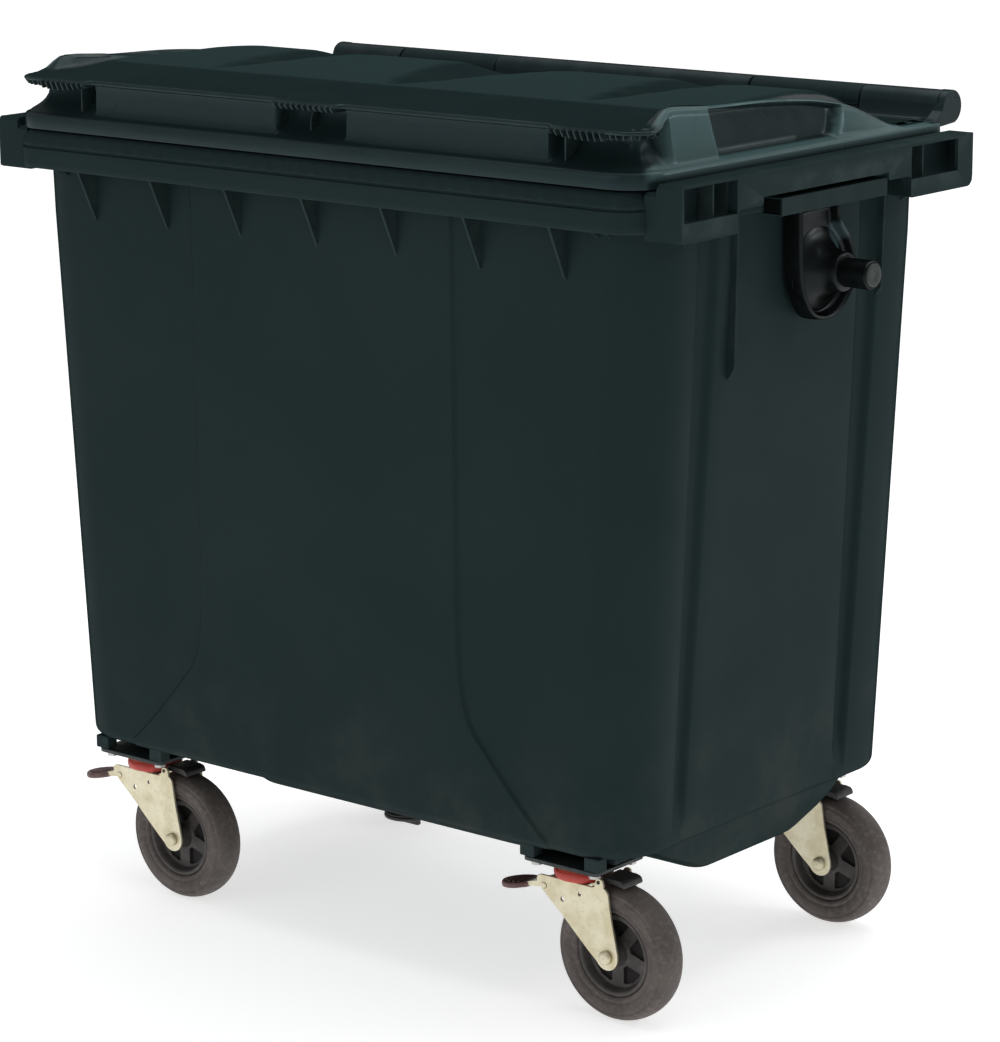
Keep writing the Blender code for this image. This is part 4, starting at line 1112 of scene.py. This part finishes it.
def build_barrels():
    """Hinge barrels along the lid's rear, and the cheeks at their outer ends."""
    section = [(343, 1178), (354, 1180), (362, 1183.5)]
    section += arc(HINGE_Y, HINGE_Z, 23.5, range(-140, 100, 8))
    section += [(371, 1230), (364, 1227), (359, 1220), (357, 1210), (355.5, 1200),
                (351, 1192.5), (343, 1188.6)]
    shape = Shape()
    for x0, x1 in ((-241.5, 241.5), (440.5, 572.5), (-572.5, -440.5)):
        shape.prism(section, 'x', x0, x1)
    end_section = [(HINGE_Y + (y - HINGE_Y) * 0.96, HINGE_Z + (z - HINGE_Z) * 0.96)
                   for y, z in section]
    for side in (-1, 1):
        shape.prism(end_section, 'x', side * 573.4, side * 579.5)
    barrels = add_object("lid_barrels", shape)

    cheek = [(330, 1187.5), (344, 1181), (362, 1182)]
    cheek += arc(HINGE_Y, HINGE_Z, 24.3, range(-70, 150, 10))
    cheek += [(354, 1203), (340, 1193.5), (330, 1190.5)]
    shape = Shape()
    for side in (-1, 1):
        shape.prism(cheek, 'x', side * 566, side * 583.5)
    lid_part("lid_barrel_cheeks", shape, bevel=2.4, segments=3)
    bore = Shape().turn([(0, -570), (9.6, -570), (9.6, 570), (0, 570)], 'x',
                        (0, HINGE_Y, HINGE_Z), 32)
    # the barrels take the darker painted-shade copy of the lid's plastic
    finish(barrels, "lid", "lid_plastic", GREEN_BAR_SHADED, cuts=[bore], bevel=1.4, angle=32)


def build_rear_grip(tag, side):
    """Curved cover between two barrels, open below, with a block at each end."""
    low, high = sorted((side * 244.0, side * 438.0))
    cover = [(HINGE_Y - 25.6, HINGE_Z - 2.6)]
    cover += arc(HINGE_Y, HINGE_Z, 23.5, range(188, -16, -6))
    cover += arc(HINGE_Y, HINGE_Z, 18.5, range(-10, 189, 6))
    cover += [(HINGE_Y - 18.8, HINGE_Z - 4.4), (HINGE_Y - 25.2, HINGE_Z - 5.0)]
    block = [(356, 1180), (372, 1176), (392, 1186), (HINGE_Y + 19, HINGE_Z),
             (HINGE_Y + 12, HINGE_Z + 14), (HINGE_Y - 6, HINGE_Z + 19),
             (HINGE_Y - 18, HINGE_Z + 12), (HINGE_Y - 22.5, HINGE_Z - 3), (353.5, 1196)]
    shape = Shape().prism(cover, 'x', low, high)
    shape.prism(block, 'x', low, low + 34).prism(block, 'x', high - 34, high)
    bin_part("rear_grip_cover_" + tag, shape, "rear_grip_" + tag, bevel=1.2, angle=32)


def build_lugs():
    """Lugs on the rear of the tub that carry the grips."""
    section = [(344, 1116), (361, 1114), (371, 1138), (385, 1176), (398, 1192),
               (HINGE_Y + 19, HINGE_Z), (HINGE_Y + 13, HINGE_Z + 13), (HINGE_Y, HINGE_Z + 18),
               (HINGE_Y - 13, HINGE_Z + 12), (HINGE_Y - 20, HINGE_Z), (358, 1192), (358, 1164),
               (344, 1164)]
    shape = Shape()
    for side in (-1, 1):
        for x0, x1 in ((246, 268), (414, 436)):
            shape.prism(section, 'x', side * x0, side * x1)
    bin_part("hinge_lugs", shape, bevel=1.6)


build_lid()
build_handle_webs()
build_pocket_ribs()
build_barrels()
for tag, side in SIDES:
    build_rear_grip(tag, side)
build_lugs()
for tag, side in SIDES:
    paint(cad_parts["hinge_pin_" + tag], BLACK)

# =================================================================== trunnions
# tongue outline: y before TONGUE_SHIFT is taken off, z from the trunnion axis
TONGUE = [(-36, 96), (-35.5, 60), (-34.5, 24), (-32, -4), (-26, -27), (-15, -46), (0, -62),
          (24, -69.5), (48, -68), (70, -59), (88, -43), (99, -22), (102, 2), (97, 24), (86, 42),
          (72, 56), (61, 70), (57, 84), (56, 96)]
TONGUE_SHIFT = 28
# outline scale, x: a plate with a rolled border and a sunk middle
TONGUE_ROWS = ((1.0, 580.5), (1.0, 590.0), (0.985, 603.0), (0.97, 606.6), (0.945, 608.0),
               (0.92, 607.4), (0.895, 604.6), (0.88, 598.0), (0.865, 594.0), (0.84, 592.2),
               (0.80, 591.8))
# turned profiles: radius, then height above DISH_X for the dish or x for the others
DISH_X = 586
DISH = [(1, 4.5), (60, 4.5), (58, 6.5), (52, 8.2), (45, 11.5), (38, 17.5), (32.5, 26.0),
        (29.0, 35.0), (27.6, 43.5), (27.0, 50.0), (26.0, 52.2), (24.0, 53.0), (1, 53.0)]
STUB = [(1, 588), (20.0, 588), (20.0, 640), (20.0, 679.0), (19.7, 681.0), (18.9, 682.0),
        (17.6, 682.0), (17.0, 681.0), (17.0, 679.0), (1, 679.0)]
STUB_CAP = [(1, 679.6), (15.6, 679.6), (16.3, 680.4), (16.3, 683.4), (15.6, 684.6), (14.0, 685.0),
            (8.0, 684.6), (5.6, 683.6), (1, 683.4)]


def build_trunnion(tag, side):
    def turned(profile, steps, base=0):
        return Shape().turn([(r, side * (base + h)) for r, h in profile], 'x', TRUNNION, steps)

    steel = ("bin", "black_steel", BLACK_STEEL)
    # hollow bar under the beam, with a near-black core inside as painted shade in its open ends
    part("trunnion_bar_" + tag,
         Shape().box(side * 596, side * 629.5, -101, 149, 1111.5, 1136.0),
         "bin", "black_steel", GREEN, "trunnion_bracket_" + tag,
         cuts=[Shape().box(side * 598.5, side * 627, -160, 160, 1114, 1133.5)],
         bevel=1.8, segments=3)
    part("trunnion_bar_shade_core_" + tag,
         Shape().box(side * 599, side * 626.5, -100.2, 148, 1114.5, 1133),
         *steel, bevel=1.0, segments=1)
    outline = spline([(y - TONGUE_SHIFT, z) for y, z in TONGUE], 4, closed=False)
    rows = [[(side * x, TRUNNION[1] + y * scale, TRUNNION[2] + z * scale) for y, z in outline]
            for scale, x in TONGUE_ROWS]
    part("trunnion_tongue_" + tag, Shape().loft(rows), *steel, sharp=50)
    part("trunnion_dish_" + tag, turned(DISH, 72, base=DISH_X), *steel, sharp=50)
    part("trunnion_stub_" + tag, turned(STUB, 64), *steel, "trunnion_pin_" + tag, sharp=40)
    part("trunnion_end_" + tag, turned(STUB_CAP, 64), "bin", "grey_plastic", CAP_GREY,
         "trunnion_cap_" + tag, sharp=40)


for tag, side in SIDES:
    build_trunnion(tag, side)

# ===================================================================== castors
# turned about the swivel axis: radius, z
RACE = [(0, 195.4), (24, 195.4), (28.6, 198.0), (29.4, 201), (29.4, 210), (33, 214), (40, 216),
        (44, 217.2), (0, 217.2)]
DUST_RING = [(30.4, 207.2), (36, 207.5), (39.6, 206.6), (41.4, 204.2), (41.8, 200.5), (41.2, 197),
             (39.6, 194.6), (36, 194.0), (30.4, 194.0)]
# one leg of the fork: x from the swivel axis, z
FORK_LEG = arc(AXLE_TRAIL, WHEEL_RADIUS, 19, range(-150, 1, 15)) + [
    (83.4, 104), (80.5, 118), (76.5, 136), (72.8, 152), (70, 168), (68.4, 180), (67.2, 188),
    (64, 192.4), (59.5, 195.5), (58.6, 203), (56.5, 206.5), (53, 207.4), (49, 207.0),
    (46.4, 204.5), (45.4, 199), (44.0, 194.6), (40, 193.0), (20, 193.0), (-30, 193.0),
    (-50, 193.0), (-55, 191.4), (-57.2, 187), (-56.4, 181), (-52.5, 176.6), (-44, 168.5),
    (-33, 159), (-20, 148.6), (-5, 135), (15, 116.5), (34, 99.5)]
# turned about the axle: radius, y from the wheel's middle
AXLE_BOLT = [(0.5, 43), (5.2, 43), (6, 42.2), (6, -33.7), (8.8, -33.7), (9.8, -34.6),
             (10, -36.4), (9.4, -38.6), (7.4, -40.0), (4, -40.7), (0.5, -40.9)]
HUB_HALF = [(6.7, 28.2), (12.8, 28.2), (14.2, 27.2), (15.4, 24), (16.6, 16), (18.2, 9.5),
            (21, 7.4), (30, 6.4), (46, 6.2), (49.5, 8.0), (51.5, 12.5), (53.0, 17.0),
            (54.6, 19.2), (57.2, 20.0), (59.2, 19.4), (60.2, 18.0)]
TYRE_HALF = [(60.4, 17.6), (61.6, 20.6), (64.0, 22.2), (66.6, 22.6), (67.6, 22.0), (69.2, 22.0),
             (70.2, 23.0), (74.0, 24.2), (79.0, 24.6), (83.4, 24.0), (84.4, 23.0), (85.6, 22.9),
             (86.6, 23.4), (88.8, 22.4), (91.4, 20.0), (93.6, 16.8), (95.2, 12.8), (96.3, 8.4),
             (96.9, 4.0), (WHEEL_RADIUS, 0.0)]
# hub window: radius, angle from its middle (radians)
HUB_WINDOW = [(22.5, -0.16), (22.5, 0.16), (46.0 * 0.96, 0.40), (46.0, 0.31), (46.6, 0),
              (46.0, -0.31), (46.0 * 0.96, -0.40)]
PEDAL_X, PEDAL_Z = -44.0, 178.0     # pedal pivot: x from the swivel axis, z
PEDAL_ARM = [(-6, 6), (4, 6), (7, 1), (5, -5), (-6, -6), (-28, -12.5), (-42, -14), (-56, -16),
             (-56, -12), (-42, -8), (-26, -3)]                          # x, z from the pivot
PEDAL_PIN = [(0, -34), (3.6, -34), (4, -33.4), (4, 33.4), (3.6, 34), (0, 34)]      # radius, y
PEDAL_LEAF = spline([(-42, 13), (-50, 20), (-64, 25), (-80, 23), (-92, 14), (-98, 0), (-92, -14),
                     (-80, -23), (-64, -25), (-50, -20), (-42, -13)], 3)  # x, y from the pivot
PEDAL_ROWS = ((0.90, -7.6), (0.97, -7.0), (1.0, -5.0), (1.0, -2.2), (0.97, -0.4), (0.92, 0.4),
              (0.84, 0.2), (0.78, -0.6))                                # leaf scale, lift
SHOE_X, SHOE_Z = 51.0, 202.0        # shoe pin: x from the swivel axis, z
SHOE = [(-6, -3), (-6, 2.6), (-3.4, 4.8), (4, 5.0), (25, 4.6), (31, 3.4), (34.6, 0.4), (36, -4),
        (35.6, -6.6), (30, -5.2), (22, -3.8), (12, -3.1), (4, -3)]      # x, z from the pin


def rod(radius, start, end):
    return [(0, start), (radius, start), (radius, end), (0, end)]


def build_mount(tag, x, y):
    """Top plate, its bolts, the fixed race, the dust ring and the kingpin's material."""
    part("castor_top_plate_" + tag,
         Shape().prism(soft_plate(x, y, (-57, 57, 47), 8, 8), 'z', 217, 223),
         "bin", "dark_steel", PLATE, "castor_plate_" + tag, bevel=1.2)
    bolts = Shape()
    for i in (-1, 1):
        for j in (-1, 1):
            bolt_x, bolt_y = x + i * 50, y + j * 40
            bolts.prism(hexagon(bolt_x, bolt_y, 9, turn=0.4), 'z', 210.4, 216.4)
            bolts.turn(rod(11, 216.2, 217.2), 'z', (bolt_x, bolt_y, 0), 24)
    part("castor_bolts_" + tag, bolts, "bin", "zinc", ZINC, bevel=0.7)
    part("castor_race_" + tag, Shape().turn(RACE, 'z', (x, y, 0), 56),
         "bin", "zinc", YELLOW_ZINC, sharp=40)
    part("swivel_dust_ring_" + tag, Shape().turn(DUST_RING, 'z', (x, y, 0), 64),
         "swivel_" + tag, "red_plastic", RED, "swivel_ring_" + tag, sharp=40)
    paint(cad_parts["kingpin_" + tag], ZINC)


def build_fork(tag, x, y):
    """Pressed fork with its holes, and the axle bolt and nut."""
    axle = (x + AXLE_TRAIL, y, WHEEL_RADIUS)
    look = ("swivel_" + tag, "yellow_zinc")
    shape = Shape()
    for side in (-1, 1):
        shape.prism(shift(FORK_LEG, x, 0), 'y', y + side * 29.3, y + side * 33.1)
    shape.prism(soft_plate(x, y, (-46, 14, 22), 8, 11.1), 'z', 187, 193.2)
    holes = Shape()
    for radius, centre, steps in ((3.4, (x - 12, y, 165), 24), (2.6, (x + 18, y, 178), 20),
                                  (6.4, axle, 28), (4.4, (x + PEDAL_X, y, PEDAL_Z), 24)):
        holes.turn(rod(radius, -40, 40), 'y', centre, steps)
    holes.turn(rod(6.3, 180, 200), 'z', (x, y, 0), 28)
    part("fork_pressed_" + tag, shape, *look, YELLOW_ZINC, "fork_" + tag,
         cuts=[holes], bevel=0.9, angle=32)
    part("axle_bolt_turned_" + tag, Shape().turn(AXLE_BOLT, 'y', axle, 40),
         *look, YELLOW_ZINC, "axle_bolt_" + tag, sharp=40)
    nut = hexagon(axle[0], axle[2], 10.3, turn=0.3)
    part("axle_hex_nut_" + tag, Shape().prism(nut, 'y', y + 33.9, y + 40.6),
         *look, ZINC, "axle_nut_" + tag, bevel=0.9)


def build_wheel(tag, x, y):
    """Hub with five windows backed by a near-black web that paints shade into the windows, and the
    tyre.
    """
    axle = (x + AXLE_TRAIL, y, WHEEL_RADIUS)
    body = "wheel_" + tag
    windows = Shape()
    for k in range(5):
        middle = 2 * math.pi * k / 5 + 0.3
        windows.prism([(axle[0] + r * math.cos(middle + t), axle[2] + r * math.sin(middle + t))
                       for r, t in HUB_WINDOW], 'y', y - 30, y + 30)
    hub = HUB_HALF + [(r, -h) for r, h in HUB_HALF[::-1]]
    part("hub_moulded_" + tag, Shape().turn(hub, 'y', axle, 80),
         body, "hub_plastic", HUB, "hub_" + tag, cuts=[windows], sharp=38)
    # web behind the windows, near-black as painted shade
    web = [(15.0, -1.5), (52.4, -1.5), (52.4, 1.5), (15.0, 1.5)]
    part("hub_web_" + tag, Shape().turn(web, 'y', axle, 64), body, "hub_plastic", WEB_SHADE, sharp=38)
    tyre = TYRE_HALF + [(r, -h) for r, h in TYRE_HALF[-2::-1]]
    part("tyre_moulded_" + tag, Shape().turn(tyre, 'y', axle, 112),
         body, "tyre_rubber", RUBBER, "tyre_" + tag, sharp=60)


def build_brake(tag, x, y):
    """Pedal arm with its cross pin, ribbed pedal pad, and the brake shoe."""
    pivot_x = x + PEDAL_X
    arm = Shape().prism(shift(PEDAL_ARM, pivot_x, PEDAL_Z), 'y', y - 15, y + 15)
    arm.turn(PEDAL_PIN, 'y', (pivot_x, y, PEDAL_Z), 24)
    part("pedal_arm_" + tag, arm, "pedal_" + tag, "yellow_zinc", YELLOW_ZINC, bevel=1.0)

    def pad_z(along_x):
        return PEDAL_Z - 9.2 + (along_x + 44) * 0.16
    pad = Shape().loft([[(pivot_x - 70 + (i + 70) * scale, y + j * scale,
                          pad_z(i) + lift - 0.0016 * j * j * scale) for i, j in PEDAL_LEAF]
                        for scale, lift in PEDAL_ROWS])
    for k, half in enumerate((17, 18, 16.5, 12)):
        rib_x = pivot_x - 60 - k * 8.5
        z = pad_z(rib_x - pivot_x)
        pad.prism([(y - half, z - 2.4), (y + half, z - 2.4), (y + half - 1, z + 0.9),
                   (y - half + 1, z + 0.9)], 'x', rib_x - 1.6, rib_x + 1.6)
    part("pedal_pad_" + tag, pad, "pedal_" + tag, "pedal_plastic", ROSE, "brake_pedal_" + tag,
         bevel=0.5, angle=40)
    shoe = Shape().prism(shift(SHOE, x + SHOE_X, SHOE_Z), 'y', y - 21, y + 21)
    shoe.turn(rod(3, -34.2, 34.2), 'y', (x + SHOE_X, y, SHOE_Z), 20)
    part("brake_block_" + tag, shoe, "shoe_" + tag, "black_plastic", BLACK, "brake_shoe_" + tag,
         bevel=1.1)


for tag, side_x, side_y in (("fl", -1, -1), ("fr", 1, -1), ("rl", -1, 1), ("rr", 1, 1)):
    for build in (build_mount, build_fork, build_wheel, build_brake):
        build(tag, side_x * CASTOR_X, side_y * CASTOR_Y)

# ================================================================== drain plug
PLUG = [(0, 169.6), (31, 169.6), (33.4, 170.6), (34, 172.6), (33.4, 174.8), (31, 175.5),
        (25.4, 175.5), (25.4, 195.6), (0, 195.6)]                       # radius, z
WASHER = [(27.3, 179.2), (32.6, 179.2), (33.4, 177.8), (32.6, 176.3), (27.3, 176.3)]
part("drain_plug_cap", Shape().turn(PLUG, 'z', DRAIN, 56),
     "plug", "black_plastic", BLACK, "drain_plug", sharp=38)
part("drain_plug_grip", Shape().box(-24, 24, DRAIN[1] - 4, DRAIN[1] + 4, 159.2, 171),
     "plug", "black_plastic", BLACK, bevel=2.0, segments=3)
part("drain_washer", Shape().turn(WASHER, 'z', DRAIN, 56),
     "plug", "seal_rubber", SEAL, "drain_seal", sharp=40)


# ====================================================================== studio
def build_floor():
    """Floor that sweeps up behind the bin, with a flat stretch to the right."""
    sweep = [(-14000, 0.0)]
    for k in range(13):
        angle = math.pi / 2 * k / 12
        sweep.append((7000 + 3000 * math.sin(angle), 3000 * (1 - math.cos(angle))))
    sweep.append((10000, 11000))
    shape = Shape().loft([[(x, y, z) for y, z in sweep] for x in (-15000, -4000, 3500)],
                         caps=False, ring=False)
    shape.loft([[(x, y, 0.0) for y in (-14000, 0, 7000)] for x in (3500, 9000, 15000)],
               caps=False, ring=False)
    floor = add_object("studio_floor", shape)
    floor.data.shade_smooth()
    floor.data.materials.append(pale_paper("pale_floor", level=0.86))


def add_camera():
    azimuth, elevation, roll = (math.radians(v) for v in (39.63, 13.28, -0.42))
    distance = 5388.97
    aim_right, aim_z = 44.74, 588.18            # aim point, aside of the middle and up
    back = Vector((math.sin(azimuth) * math.cos(elevation),
                   -math.cos(azimuth) * math.cos(elevation), math.sin(elevation)))
    right = Vector((math.cos(azimuth), math.sin(azimuth), 0))
    up = back.cross(right)
    eye = right * aim_right + Vector((0, -CENTRE_Y, aim_z)) + back * distance
    rolled_right = right * math.cos(roll) + up * math.sin(roll)
    rolled_up = -right * math.sin(roll) + up * math.cos(roll)
    data = bpy.data.cameras.new("view")
    data.sensor_width = 36
    data.sensor_fit = 'AUTO'
    data.lens = 125.6241075
    data.clip_end = 60
    camera = bpy.data.objects.new("view", data)
    columns = zip(rolled_right, rolled_up, back, eye * METRES)
    camera.matrix_world = Matrix((*columns, (0, 0, 0, 1)))
    scene.collection.objects.link(camera)
    scene.camera = camera


def area_light(name, place, aim, size, power):
    """Rectangular light; place, aim and size in metres, power in watts."""
    data = bpy.data.lights.new(name, 'AREA')
    data.shape = 'RECTANGLE'
    data.size, data.size_y = size
    data.energy = power
    light = bpy.data.objects.new(name, data)
    light.location = place
    direction = Vector(aim) - Vector(place)
    light.rotation_euler = direction.to_track_quat('-Z', 'Y').to_euler()
    scene.collection.objects.link(light)


def set_world():
    """Sky that looks like pale paper but lights the bin only softly."""
    world = bpy.data.worlds.new("studio")
    world.use_nodes = True
    tree = world.node_tree
    background = tree.nodes["Background"]
    background.inputs[0].default_value = (0.97, 0.985, 1.0, 1)
    ray = tree.nodes.new("ShaderNodeLightPath")
    strength = tree.nodes.new("ShaderNodeMapRange")
    strength.inputs["To Min"].default_value = 0.30
    strength.inputs["To Max"].default_value = 1.0
    tree.links.new(ray.outputs["Is Camera Ray"], strength.inputs["Value"])
    tree.links.new(strength.outputs["Result"], background.inputs[1])
    scene.world = world


build_floor()
add_camera()
area_light("top_soft", place=(0.05, 0.5, 4.8), aim=(0, 0, 0.7), size=(4.6, 4.2), power=100)
area_light("side_rear", place=(3.4, 3.1, 2.9), aim=(0.5, 0, 1.15), size=(1.7, 0.9), power=27)
area_light("front_soft", place=(-1.6, -5.6, 2.8), aim=(0, 0, 0.6), size=(4.2, 3.0), power=30)
set_world()
scene.view_settings.view_transform = 'Standard'
